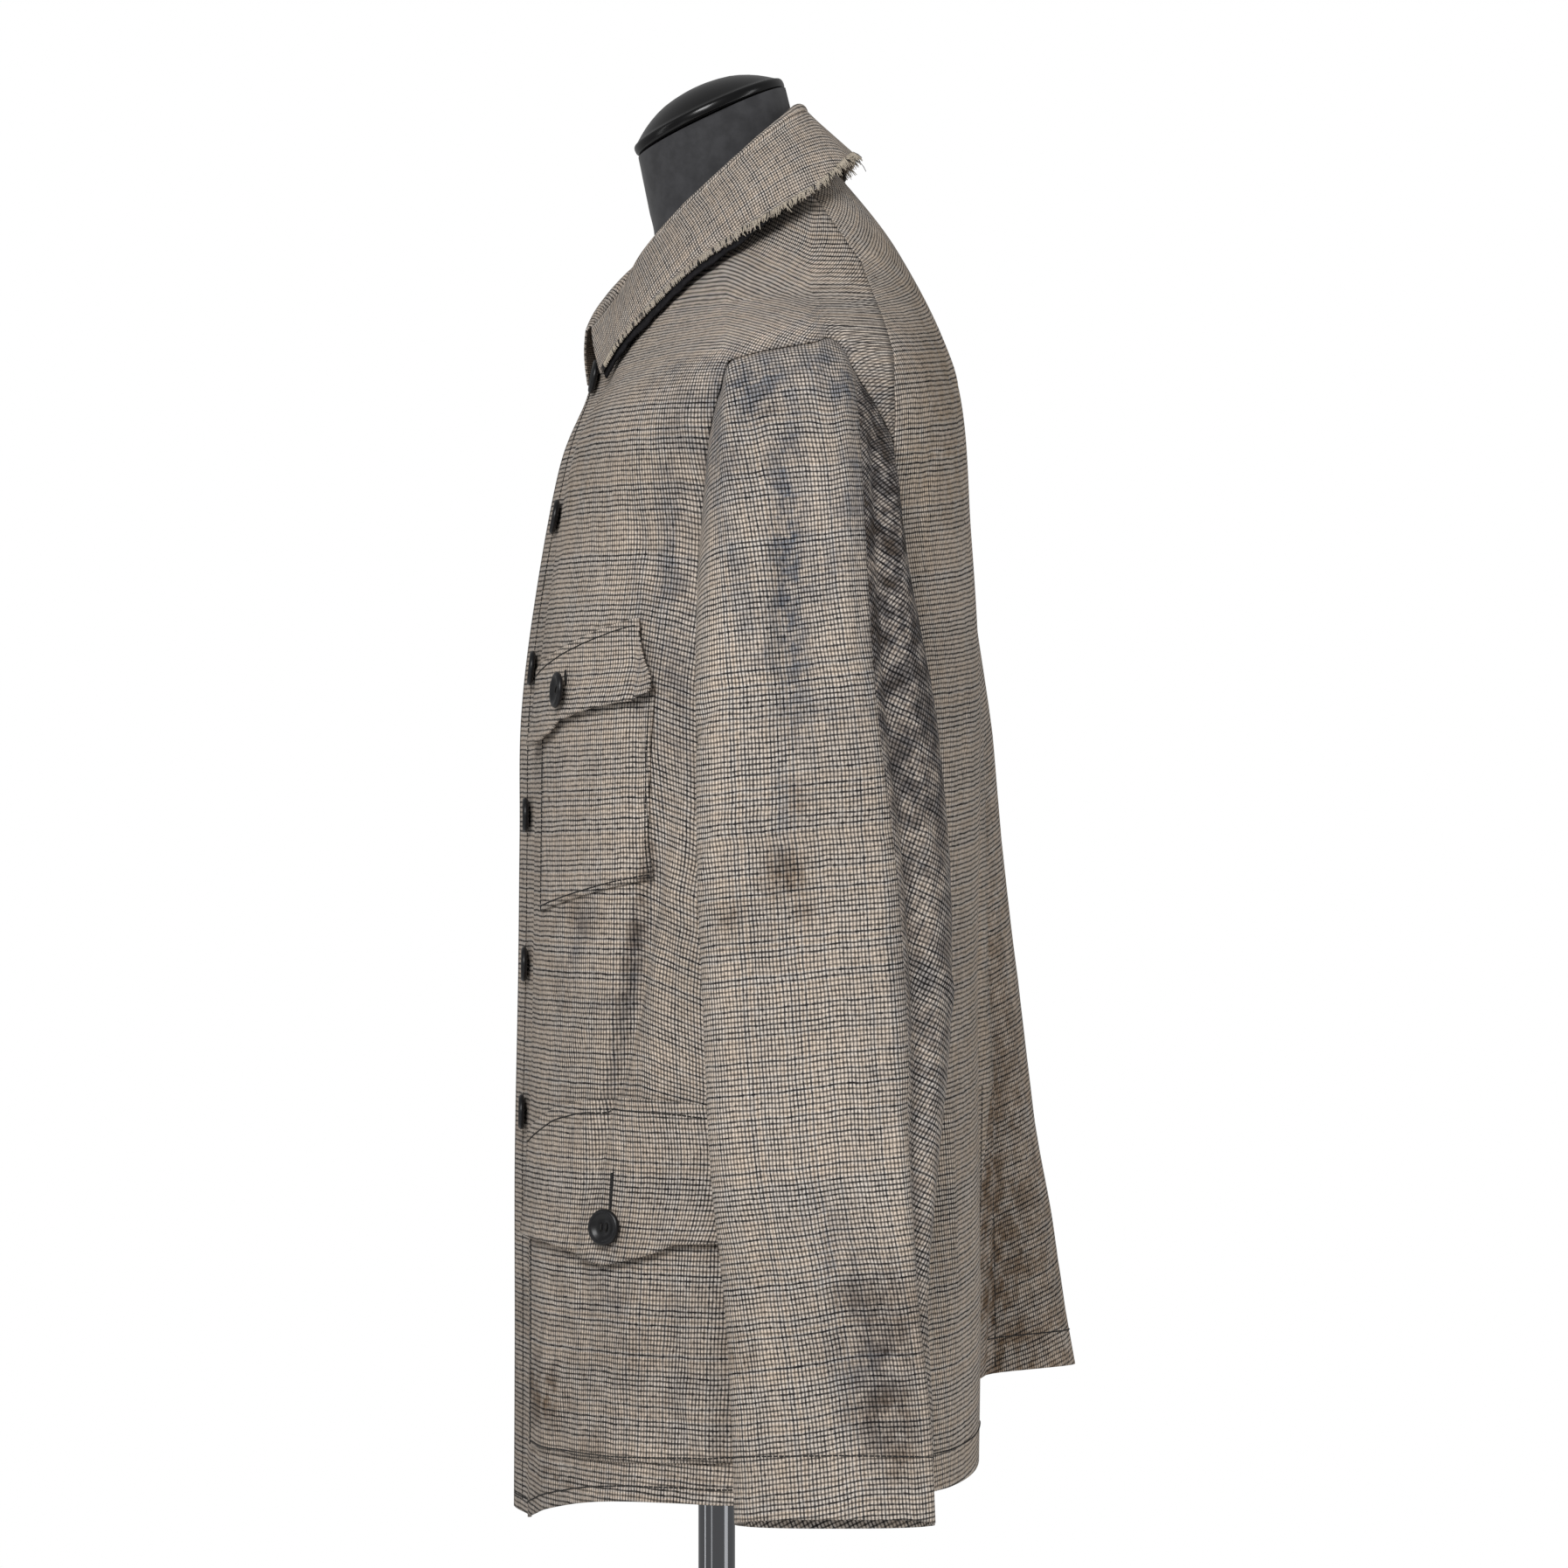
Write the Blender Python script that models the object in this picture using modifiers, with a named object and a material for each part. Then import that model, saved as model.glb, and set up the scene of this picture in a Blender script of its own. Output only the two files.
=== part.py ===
"""Hunting jacket on a dress form: the solids.

Metres, +Z up, the jacket faces -Y and the wearer's left is +X. The tables are written from the middle
of the photographed view, and SHIFT moves all of it so that the pole stands on the origin.
"""
import math

import bmesh
import bpy
import numpy as np
from mathutils import Matrix

# Sizes
CLOTH = 0.0016
SHIFT = np.array((0.0, 0.0416, 0.0))
LAP = 0.020
LAP_INSET = 0.0034
# where the lower front starts to go under, and over what width
LAP_STARTS = -0.070
LAP_EASE = 0.040
FRONT_TURN = 0.30
FRONT_TURN_REACH = 0.05
SEAM_HALF_GAP = 0.0006
LEFT = 1
RIGHT = -1

# Rings of the body, from the hem (0) to the neckline (9)
BODY_COLUMNS = ("z_front", "z_side", "z_back", "half_width", "y_front", "y_back", "y_side",
                "n_front", "n_back", "right_lift", "ease")
BODY_ROWS = (
    (0.704, 0.736, 0.741, 0.232, -0.1625, 0.1190, 0.010, 2.3, 2.6, 0.045, 5.0),
    (0.810, 0.824, 0.828, 0.228, -0.1620, 0.1200, 0.010, 2.3, 2.6, 0.028, 3.5),
    (0.920, 0.925, 0.930, 0.222, -0.1620, 0.1190, 0.010, 2.3, 2.6, 0.012, 2.0),
    (1.030, 1.035, 1.040, 0.218, -0.160, 0.1180, 0.010, 2.3, 2.6, 0.003, 1.4),
    (1.120, 1.125, 1.130, 0.216, -0.159, 0.1195, 0.008, 2.3, 2.6, 0.0, 1.4),
    (1.195, 1.212, 1.215, 0.217, -0.158, 0.1195, 0.005, 2.3, 2.6, 0.0, 1.4),
    (1.270, 1.300, 1.305, 0.213, -0.149, 0.1145, 0.005, 2.3, 2.5, 0.0, 1.4),
    (1.350, 1.405, 1.400, 0.229, -0.134, 0.1055, 0.003, 2.2, 2.4, 0.0, 1.4),
    (1.392, 1.447, 1.480, 0.146, -0.118, 0.0700, -0.008, 2.0, 2.2, 0.0, 1.4),
    (1.420, 1.489, 1.537, 0.070, -0.1125, 0.0260, -0.028, 2.0, 2.0, 0.0, 1.4),
)
UNDERARM = 5
CAP = 7
NECK = 9
BACK_EASE = 1.4
NUDGE = 0.01
PROBE = 0.001
RIGHT_LIFT_AT_SIDE = 0.55

# Where the armhole, side seam and shoulder seam cross the rings
EDGE_COLUMNS = ("ring", "front_armhole_y", "back_armhole_y", "side_seam_y")
EDGE_ROWS = (
    (0.0, -0.030, 0.050, 0.030),
    (4.0, -0.028, 0.048, 0.030),
    (5.0, -0.020, 0.036, 0.030),
    (5.4, -0.040, 0.054, 0.030),
    (6.0, -0.048, 0.062, 0.030),
    (6.6, -0.043, 0.064, 0.030),
    (7.0, -0.032, 0.0637, 0.030),
    (8.0, -0.030, 0.0460, 0.030),
    (9.0, -0.045, 0.0080, 0.030),
)
# half of a seam's gap between fronts and backs, in radians round the body
SLACK_COLUMNS = ("ring", "slack")
SLACK_ROWS = ((0.0, 0.00297), (7.0, 0.00297), (8.0, 0.00419), (9.0, 0.00873))
# rows of cells: how many from ring to ring
BODY_SPANS = ((0.0, 5.0, 12), (5.0, 7.0, 6), (7.0, 9.0, 5))
FRONT_CELLS = (12, 4)
BACK_CELLS = (8, 2)

# Folds of the back: how far it stands out, by height
BACK_FOLDS = (
    # side, x of the crest, reach towards the seam, reach towards the side, ((z, depth), ...)
    (LEFT, 0.0, 0.035, 0.035, ((0.73, -0.012), (0.80, -0.009), (0.88, -0.001), (0.91, 0.004),
                               (0.97, 0.0105), (1.10, 0.006), (1.25, 0.0))),
    (RIGHT, 0.0, 0.035, 0.035, ((0.77, 0.002), (0.80, 0.004), (0.90, 0.009), (0.97, 0.0105),
                                (1.10, 0.006), (1.25, 0.0))),
    (RIGHT, -0.100, 0.100, 0.122, ((0.78, 0.071), (0.851, 0.057), (0.94, 0.0445), (1.029, 0.035),
                                   (1.118, 0.023), (1.185, 0.0163), (1.25, 0.007), (1.36, 0.0))),
)

# Folds of the fronts and sides: troughs are negative
FOLD_COLUMNS = ("side", "angle_low", "angle_high", "half_angle", "depth", "ring_low", "ring_high")
FOLD_ROWS = (
    (LEFT, 53.0, 64.0, 7.0, -0.0050, 1.5, 4.6),
    (LEFT, 30.0, 34.0, 8.0, 0.0030, -0.6, 1.6),
    (LEFT, 76.0, 74.0, 7.0, 0.0035, -0.6, 3.0),
    (LEFT, 108.0, 112.0, 9.0, 0.0040, -0.6, 4.2),
    (LEFT, 131.0, 128.0, 8.0, -0.0040, -0.6, 4.6),
    (RIGHT, 50.0, 60.0, 7.0, -0.0045, 1.2, 4.3),
    (RIGHT, 27.0, 31.0, 8.0, 0.0028, -0.6, 1.4),
    (RIGHT, 79.0, 75.0, 8.0, 0.0032, -0.6, 2.7),
)

# Rings of a sleeve below the cap, by height
SLEEVE_COLUMNS = ("z", "y_front", "y_back", "seam_angle", "x_inner", "x_outer", "skew", "drop")
SLEEVE_ROWS = (
    (1.180, -0.0497, 0.0880, 115.0, 0.241, 0.305, 0.012, 0.000),
    (1.100, -0.0487, 0.0950, 119.0, 0.242, 0.308, 0.018, 0.000),
    (1.010, -0.0450, 0.0945, 125.0, 0.243, 0.309, 0.016, 0.000),
    (0.930, -0.0410, 0.0870, 134.0, 0.244, 0.308, 0.010, 0.000),
    (0.860, -0.0336, 0.0815, 150.0, 0.245, 0.305, 0.004, 0.002),
    (0.795, -0.0296, 0.0845, 162.0, 0.246, 0.302, 0.001, 0.004),
    (0.731, -0.0276, 0.0865, 168.0, 0.247, 0.300, 0.000, 0.006),
)
SEAM_AT_ARMHOLE = 106.0
SLEEVE_SLACK = 0.0007
SLEEVE_SLACK_LIMIT = 3.0
SLEEVE_POWER = 2.5
FOREARM_SEAM = -28.0
ARMHOLE_STEPS = 12
SLEEVE_SPANS = ((0.0, 1.0, 8), (1.0, 7.0, 12))
TOP_CELLS = 10
UNDER_CELLS = 8

# How the sleeve leaves the armhole and reaches its first ring: front, top, back, under the arm
CAP_COLUMNS = ("angle", "out_x", "out_y", "out_z", "leave", "arrive", "start")
CAP_ROWS = (
    (0.0, 1.0, -0.10, -0.25, 0.030, 0.050, 0.0026),
    (90.0, 1.0, 0.00, -0.30, 0.045, 0.095, 0.0021),
    (180.0, 1.0, 0.25, -0.30, 0.032, 0.050, 0.0026),
    (270.0, 0.9, 0.00, -0.35, 0.008, 0.012, 0.0026),
    (360.0, 1.0, -0.10, -0.25, 0.030, 0.050, 0.0026),
)
SLEEVE_FOLD_COLUMNS = ("angle", "half_angle", "depth", "z_low", "z_high")
SLEEVE_FOLDS = (
    (92.0, 14.0, -0.0050, 1.20, 1.42),
    (116.0, 12.0, 0.0040, 1.16, 1.42),
    (62.0, 14.0, -0.0030, 0.80, 1.05),
)

# Collar, from the front end (0) to the middle of the back (8), on the wearer's left
COLLAR_COLUMNS = ("angle", "fold_x", "fold_y", "fold_z", "edge_x", "edge_y", "edge_z", "radius", "bow")
COLLAR_ROWS = (
    (5.0, 0.008, -0.1170, 1.437, 0.052, -0.1150, 1.405, 0.0030, 0.0010),
    (24.0, 0.031, -0.1042, 1.456, 0.076, -0.1020, 1.419, 0.0034, 0.0016),
    (44.0, 0.048, -0.0885, 1.478, 0.092, -0.0820, 1.438, 0.0040, 0.0022),
    (62.0, 0.059, -0.0650, 1.501, 0.102, -0.0580, 1.460, 0.0042, 0.0022),
    (82.0, 0.064, -0.0390, 1.525, 0.105, -0.0320, 1.479, 0.0042, 0.0020),
    (104.0, 0.061, -0.0150, 1.547, 0.099, -0.0040, 1.497, 0.0042, 0.0016),
    (128.0, 0.046, 0.0020, 1.562, 0.080, 0.0205, 1.514, 0.0042, 0.0010),
    (154.0, 0.024, 0.0085, 1.570, 0.045, 0.0375, 1.532, 0.0042, 0.0005),
    (180.0, 0.000, 0.0100, 1.572, 0.000, 0.0445, 1.541, 0.0042, 0.0),
)
COLLAR_FOOT = 0.0022
COLLAR_STATIONS = 24
FOLD_ANGLES = (135.0, 90.0, 45.0)
FALL_STEPS = 4
# where the collar starts to take the front's turn, going forward, and over what length
TURN_STARTS = -0.060
TURN_LENGTH = 0.040
UNDER_COLLAR_DROP = 0.0056
UNDER_COLLAR_INSET = 0.0030
UNDER_COLLAR_START = 0.36

# Patch pockets and flaps: share of the width from the front edge, height of the bottom and of the top
CHEST_POCKET = ((0.0, 1.0765, 1.2080), (0.5, 1.0870, 1.2230), (1.0, 1.0975, 1.2400))
CHEST_FLAP = ((0.0, 1.1760, 1.2210), (0.20, 1.1780, 1.2280), (0.36, 1.1880, 1.2330),
              (0.60, 1.1980, 1.2400), (0.92, 1.2020, 1.2485), (1.0, 1.2080, 1.2500))
LOWER_POCKET = ((0.0, 0.7560, 0.9330), (0.5, 0.7570, 0.9560), (1.0, 0.7620, 0.9500))
LOWER_FLAP = ((0.0, 0.8830, 0.9440), (0.20, 0.8830, 0.9610), (0.47, 0.8720, 0.9690),
              (0.70, 0.8880, 0.9680), (1.0, 0.8850, 0.9620))
# front edge and rear edge in degrees round the body, distance out, lift of the free edge
POCKET_COLUMNS = ("front", "rear", "out", "lift")
POCKET_ROWS = {
    "chest_pocket": (27.0, 63.0, 0.0025, 0.0),
    "chest_flap": (21.0, 61.5, 0.0047, 0.0030),
    "lower_pocket": (22.0, 84.0, 0.0025, 0.0),
    "lower_flap": (21.0, 85.0, 0.0047, 0.0030),
}
NARROWEST_CELL = 0.3
# how much higher the pockets of the wearer's right hang
RIGHT_CHEST_LIFT = 0.004
RIGHT_LOWER_LIFT = 0.018

# Buttons
FRONT_BUTTON_Z = (1.404, 1.317, 1.224, 1.134, 1.042, 0.951)
FRONT_BUTTON_X = 0.012
# degrees round the body, height, how far the flap is lifted there
FLAP_BUTTONS = {"chest": (39.0, 1.208, 0.0012), "lower": (54.0, 0.893, 0.0022)}
BUTTON_STANDOFF = 0.0012
# radius, height above the back
BUTTON_PROFILE = ((0.0, 0.0022), (0.0048, 0.0022), (0.0070, 0.0034), (0.0092, 0.0036),
                  (0.0108, 0.0022), (0.0094, 0.0), (0.0, 0.0))
TURN_STEPS = 16

# Dress form
FORM_COLUMNS = ("z_front", "z_back", "y_front", "y_back", "half_width")
FORM_ROWS = (
    (0.800, 0.800, -0.104, 0.078, 0.160),
    (0.860, 0.860, -0.112, 0.086, 0.170),
    (0.940, 0.940, -0.112, 0.084, 0.168),
    (1.050, 1.050, -0.106, 0.076, 0.152),
    (1.150, 1.150, -0.118, 0.084, 0.162),
    (1.240, 1.250, -0.132, 0.092, 0.174),
    (1.300, 1.345, -0.126, 0.090, 0.186),
    (1.335, 1.398, -0.117, 0.080, 0.186),
    (1.372, 1.446, -0.106, 0.068, 0.176),
    (1.400, 1.479, -0.096, 0.055, 0.139),
    (1.425, 1.503, -0.087, 0.035, 0.099),
    (1.454, 1.520, -0.080, 0.016, 0.064),
    (1.490, 1.537, -0.0800, 0.0082, 0.051),
    (1.508, 1.552, -0.0835, 0.0082, 0.048),
    (1.5400, 1.5830, -0.0900, 0.0010, 0.0465),
)
FORM_POWER = 2.2
FORM_AROUND = 28
CAP_CENTRE = (0.0, -0.0446, 1.5618)
CAP_TILT = math.radians(24.9)
CAP_PROFILE = ((0.0, 0.0237), (0.012, 0.0230), (0.024, 0.0206), (0.034, 0.0165), (0.0430, 0.0110),
               (0.0485, 0.0064), (0.0505, 0.0030), (0.0498, 0.0006), (0.0, 0.0006))
POLE_RADIUS = 0.01135
# radius, height
BASE_PROFILE = ((0.0, 0.0240), (0.0200, 0.0240), (0.0225, 0.0215), (0.0240, 0.0160), (0.1700, 0.0120),
                (0.1860, 0.0100), (0.1900, 0.0060), (0.1900, 0.0015), (0.1885, 0.0), (0.0, 0.0))
BASE_STEPS = 40
POLE_STEPS = 24
CAP_STEPS = 28
SEAT_GAP = 0.0003
MERGE = 0.00002


def table(columns, rows):
    """Named columns as arrays."""
    return {name: np.array([row[k] for row in rows], dtype=float) for k, name in enumerate(columns)}


BODY = table(BODY_COLUMNS, BODY_ROWS)
EDGE = table(EDGE_COLUMNS, EDGE_ROWS)
SLACK = table(SLACK_COLUMNS, SLACK_ROWS)
SLEEVE = table(SLEEVE_COLUMNS, SLEEVE_ROWS)
CAP_TABLE = table(CAP_COLUMNS, CAP_ROWS)
COLLAR = table(COLLAR_COLUMNS, COLLAR_ROWS)
FORM = table(FORM_COLUMNS, FORM_ROWS)


def spline(values, at):
    """A smooth curve through the values, read at fractional row numbers."""
    at = np.asarray(at, dtype=float)
    last = len(values) - 1
    low = np.clip(np.floor(at).astype(int), 0, last - 1)
    t = at - low
    before = values[np.clip(low - 1, 0, last)]
    here = values[low]
    there = values[low + 1]
    after = values[np.clip(low + 2, 0, last)]
    slope_here = (there - before) / 2
    slope_there = (after - here) / 2
    t2 = t * t
    t3 = t2 * t
    return ((2 * t3 - 3 * t2 + 1) * here + (t3 - 2 * t2 + t) * slope_here
            + (3 * t2 - 2 * t3) * there + (t3 - t2) * slope_there)


def bell(distance):
    """One at the middle, nothing from a distance of one."""
    near = np.clip(1 - np.abs(distance), 0, 1)
    return near * near * (3 - 2 * near)


def front_turn(x):
    """The middle of the front is turned a little to the wearer's left."""
    return FRONT_TURN * x * np.exp(-(x / FRONT_TURN_REACH) ** 2)


def section(side, phi, ring):
    """A point of the body: phi runs from the centre front (0) to the centre back (pi)."""
    phi, ring = np.broadcast_arrays(np.asarray(phi, dtype=float), np.asarray(ring, dtype=float))
    row = {name: spline(BODY[name], ring) for name in BODY_COLUMNS}
    cosine, sine = np.cos(phi), np.sin(phi)
    front = cosine >= 0
    power = 2 / np.where(front, row["n_front"], row["n_back"])
    reach = np.where(front, row["y_front"], row["y_back"]) - row["y_side"]
    x = side * row["half_width"] * np.sign(sine) * np.abs(sine) ** power
    y = row["y_side"] + reach * np.abs(cosine) ** power
    rise = np.where(front, row["z_front"], row["z_back"]) - row["z_side"]
    z = row["z_side"] + rise * np.abs(cosine) ** np.where(front, row["ease"], BACK_EASE)
    if side == RIGHT:
        z = z + row["right_lift"] * (RIGHT_LIFT_AT_SIDE + (1 - RIGHT_LIFT_AT_SIDE) * np.abs(cosine))
    y = y + np.where(front, front_turn(x), 0)
    for fold_side, crest, inward, outward, depths in BACK_FOLDS:
        if fold_side != side:
            continue
        heights, amounts = zip(*depths)
        away = side * (x - crest)
        across = bell(away / np.where(away < 0, inward, outward))
        y = y + np.where(front, 0, across * np.interp(z, heights, amounts))
    degrees = np.degrees(phi)
    push = np.zeros_like(x)
    for row_side, low, high, half, depth, ring_low, ring_high in FOLD_ROWS:
        if row_side != side:
            continue
        along = (ring - ring_low) / (ring_high - ring_low)
        middle = low + (high - low) * along
        fade = bell(2 * along - 1) ** 0.5
        push = push + depth * fade * bell((degrees - middle) / half)
    x = x + push * side * sine
    y = y - push * cosine
    return np.stack((x, y, z), axis=-1)


def body(side, phi, ring, out=0.0):
    """The body's surface, moved out along its normal."""
    point = section(side, phi, ring)
    if np.all(np.asarray(out) == 0):
        return point
    step = 1e-3
    around = section(side, phi + step, ring) - section(side, phi - step, ring)
    up = section(side, phi, np.minimum(ring + step, NECK)) - section(side, phi, ring - step)
    normal = np.cross(around, up) * side
    normal /= np.linalg.norm(normal, axis=-1, keepdims=True)
    return point + normal * np.asarray(out)[..., None]


def angle_of_x(ring, x):
    """Where the front or back has this distance from the middle."""
    share = np.abs(x) / spline(BODY["half_width"], ring)
    return np.sign(x) * np.arcsin(share ** (spline(BODY["n_front"], ring) / 2))


def angle_of_y(ring, y):
    """Where the ring has this y."""
    y_side = spline(BODY["y_side"], ring)
    ahead = y < y_side
    reach = np.where(ahead, spline(BODY["y_front"], ring), spline(BODY["y_back"], ring)) - y_side
    power = np.where(ahead, spline(BODY["n_front"], ring), spline(BODY["n_back"], ring)) / 2
    cosine = np.clip((y - y_side) / reach, 0, 1) ** power
    return np.where(ahead, np.arccos(cosine), np.pi - np.arccos(cosine))


def ring_at(side, phi, z):
    """The ring number that has this height at this angle."""
    low = np.full(np.broadcast(phi, z).shape, -0.5)
    high = np.full_like(low, float(NECK))
    for _ in range(36):
        middle = (low + high) / 2
        below = section(side, phi, middle)[..., 2] < z
        low = np.where(below, middle, low)
        high = np.where(below, high, middle)
    return (low + high) / 2


def edge_angle(name, ring):
    """The angle of the armhole, the side seam or the shoulder seam on a ring."""
    return angle_of_y(ring, np.interp(ring, EDGE["ring"], EDGE[name]))


def principled(name, colour, rough, metal=0.0):
    """A material of its own for each object."""
    material = bpy.data.materials.new(name)
    material.use_nodes = True
    shader = material.node_tree.nodes["Principled BSDF"]
    shader.inputs["Base Color"].default_value = (*colour, 1)
    shader.inputs["Roughness"].default_value = rough
    shader.inputs["Metallic"].default_value = metal
    return material


CHECK = ((0.30, 0.26, 0.21), 0.9, 0.0)
BLACK_CLOTH = ((0.02, 0.02, 0.022), 0.9, 0.0)
HORN = ((0.015, 0.015, 0.016), 0.4, 0.0)
FORM_CLOTH = ((0.05, 0.05, 0.055), 0.85, 0.0)
GLOSS = ((0.01, 0.01, 0.01), 0.15, 0.0)
CHROME = ((0.7, 0.7, 0.72), 0.1, 1.0)
PAINT = ((0.03, 0.03, 0.032), 0.4, 0.0)


def add(name, mesh, looks):
    """An object in the part's collection."""
    thing = bpy.data.objects.new(name, mesh)
    PART.objects.link(thing)
    mesh.materials.append(principled(name + "_material", *looks))
    for face in mesh.polygons:
        face.use_smooth = True
    return thing


def sheet(name, points, looks, missing=None, thickness=CLOTH, flip=False):
    """A cloth wall through a grid of points, missing some of its cells."""
    rows, columns = points.shape[:2]
    build = bmesh.new()
    bmesh.ops.create_grid(build, x_segments=columns - 1, y_segments=rows - 1, size=1.0)
    order = sorted(build.verts, key=lambda v: (round(v.co.y, 6), round(v.co.x, 6)))
    for vert, point in zip(order, points.reshape(-1, 3)):
        vert.co = point + SHIFT
    place = {vert: k for k, vert in enumerate(order)}
    if missing is not None:
        gone = []
        for face in build.faces:
            cell = min(place[vert] for vert in face.verts)
            if missing[cell // columns, cell % columns]:
                gone.append(face)
        bmesh.ops.delete(build, geom=gone, context="FACES")
        loose = [vert for vert in build.verts if not vert.link_faces]
        bmesh.ops.delete(build, geom=loose, context="VERTS")
    if flip:
        bmesh.ops.reverse_faces(build, faces=build.faces)
    mesh = bpy.data.meshes.new(name)
    build.to_mesh(mesh)
    build.free()
    thing = add(name, mesh, looks)
    wall = thing.modifiers.new("Cloth wall", "SOLIDIFY")
    wall.thickness = thickness
    wall.offset = 0.0
    wall.use_even_offset = False
    return thing


def loft(name, rings, looks):
    """A closed body through unlike rings, capped flat at both ends."""
    build = bmesh.new()
    layers = [[build.verts.new(point + SHIFT) for point in ring] for ring in rings]
    for below, above in zip(layers, layers[1:]):
        for k in range(len(below)):
            n = (k + 1) % len(below)
            build.faces.new((below[k], below[n], above[n], above[k]))
    build.faces.new(list(reversed(layers[0])))
    build.faces.new(layers[-1])
    bmesh.ops.recalc_face_normals(build, faces=build.faces)
    mesh = bpy.data.meshes.new(name)
    build.to_mesh(mesh)
    build.free()
    return add(name, mesh, looks)


def turned(name, profile, looks, steps, place):
    """A profile turned about its own axis and put in its place."""
    mesh = bpy.data.meshes.new(name)
    points = [(radius, 0.0, height) for radius, height in profile]
    mesh.from_pydata(points, [(k, k + 1) for k in range(len(points) - 1)], [])
    thing = add(name, mesh, looks)
    screw = thing.modifiers.new("Turned", "SCREW")
    screw.steps = steps
    screw.render_steps = steps
    screw.use_merge_vertices = True
    screw.merge_threshold = MERGE
    screw.use_smooth_shade = True
    thing.matrix_world = place
    return thing


def levels_of(spans):
    """Row numbers, evenly spaced within each span."""
    parts = [np.linspace(low, high, count + 1)[(k > 0):] for k, (low, high, count) in enumerate(spans)]
    return np.concatenate(parts)


def spaced(start, stop, count):
    """Angles from start to stop on each row."""
    share = np.linspace(0, 1, count + 1)
    return start[:, None] + (stop - start)[:, None] * share[None, :]


def front_grid(side, out=0.0):
    """A front's points: from its edge to the armhole line, then on to the side or shoulder seam."""
    level = levels_of(BODY_SPANS)
    shoulder = edge_angle("back_armhole_y", level)
    seam = np.where(level <= CAP - NUDGE, edge_angle("side_seam_y", level), shoulder)
    armhole = edge_angle("front_armhole_y", level)
    start = angle_of_x(level, np.full_like(level, -LAP))
    slack = np.interp(level, SLACK["ring"], SLACK["slack"])
    first = spaced(start, armhole, FRONT_CELLS[0])
    second = spaced(armhole, seam - slack, FRONT_CELLS[1])
    phi = np.concatenate((first, second[:, 1:]), axis=1)
    ring = np.broadcast_to(level[:, None], phi.shape)
    points = body(side, phi, ring, out)
    if side == RIGHT:
        under = np.clip((points[..., 0] - LAP_STARTS) / LAP_EASE, 0, 1)
        under = under * under * (3 - 2 * under) * np.where(np.cos(phi) > 0, 1, 0)
        points = body(side, phi, ring, out - LAP_INSET * under)
    return level, phi, points


def front_panel(name, side):
    """A front with the armhole cut out and the shoulder carried back."""
    level, phi, points = front_grid(side)
    cut = np.zeros(phi.shape, dtype=bool)
    rows = level[:-1]
    inside = (rows >= UNDERARM - NUDGE) & (rows < CAP - NUDGE)
    cut[:-1][inside, FRONT_CELLS[0]:] = True
    return sheet(name, points, CHECK, missing=cut, flip=side == RIGHT)


def back_panel(name, side):
    """From the centre seam to the side seam, with the armhole cut out."""
    level = levels_of(BODY_SPANS)
    seam = edge_angle("side_seam_y", level)
    armhole = edge_angle("back_armhole_y", level)
    slack = np.interp(level, SLACK["ring"], SLACK["slack"])
    lean = spline(BODY["n_back"], level) / 2
    middle = np.pi - np.arcsin((SEAM_HALF_GAP / spline(BODY["half_width"], level)) ** lean)
    first = spaced(middle, armhole + slack, BACK_CELLS[0])
    second = spaced(armhole + slack, seam + slack, BACK_CELLS[1])
    phi = np.concatenate((first, second[:, 1:]), axis=1)
    ring = np.broadcast_to(level[:, None], phi.shape)
    cut = np.zeros((len(level), phi.shape[1]), dtype=bool)
    cut[:-1][level[:-1] >= UNDERARM - NUDGE, BACK_CELLS[0]:] = True
    return sheet(name, body(side, phi, ring), CHECK, missing=cut, flip=side == LEFT)


def armhole_path(side, psi):
    """The armhole's edge: 0 at the front, 90 on the shoulder, 180 at the back, 270 under the arm."""
    middle = (UNDERARM + CAP) / 2
    front, back = "front_armhole_y", "back_armhole_y"
    top = [float(edge_angle(edge, np.array(float(CAP)))) for edge in (front, back)]
    floor = [float(edge_angle(edge, np.array(float(UNDERARM)))) for edge in (back, front)]
    up = np.linspace(middle, CAP, ARMHOLE_STEPS)
    down = np.linspace(CAP, UNDERARM, 2 * ARMHOLE_STEPS + 1)[1:]
    rise = np.linspace(UNDERARM, middle, ARMHOLE_STEPS + 1)[1:]
    over = np.linspace(top[0], top[1], 2 * ARMHOLE_STEPS + 1)[1:]
    under = np.linspace(floor[0], floor[1], ARMHOLE_STEPS + 1)[1:]
    phi = (edge_angle(front, up), over, edge_angle(back, down), under, edge_angle(front, rise))
    ring = (up, np.full_like(over, CAP), down, np.full_like(under, UNDERARM), rise)
    ends = np.cumsum([len(part) for part in phi]) - 1
    points = section(side, np.concatenate(phi), np.concatenate(ring))
    length = np.concatenate(((0,), np.cumsum(np.linalg.norm(np.diff(points, axis=0), axis=1))))
    quarter = (0, (ends[0] + ends[1]) // 2, (ends[1] + ends[2]) // 2, (ends[2] + ends[3]) // 2, ends[4])
    wanted = np.interp(np.mod(psi, 360), (0, 90, 180, 270, 360), length[list(quarter)])
    ring_of = np.concatenate((points[-3:-1], points, points[1:3]))
    soft = (ring_of[:-4] + ring_of[1:-3] + ring_of[2:-2] + ring_of[3:-1] + ring_of[4:]) / 5
    return np.stack([np.interp(wanted, length, soft[:, k]) for k in range(3)], axis=-1)


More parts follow.
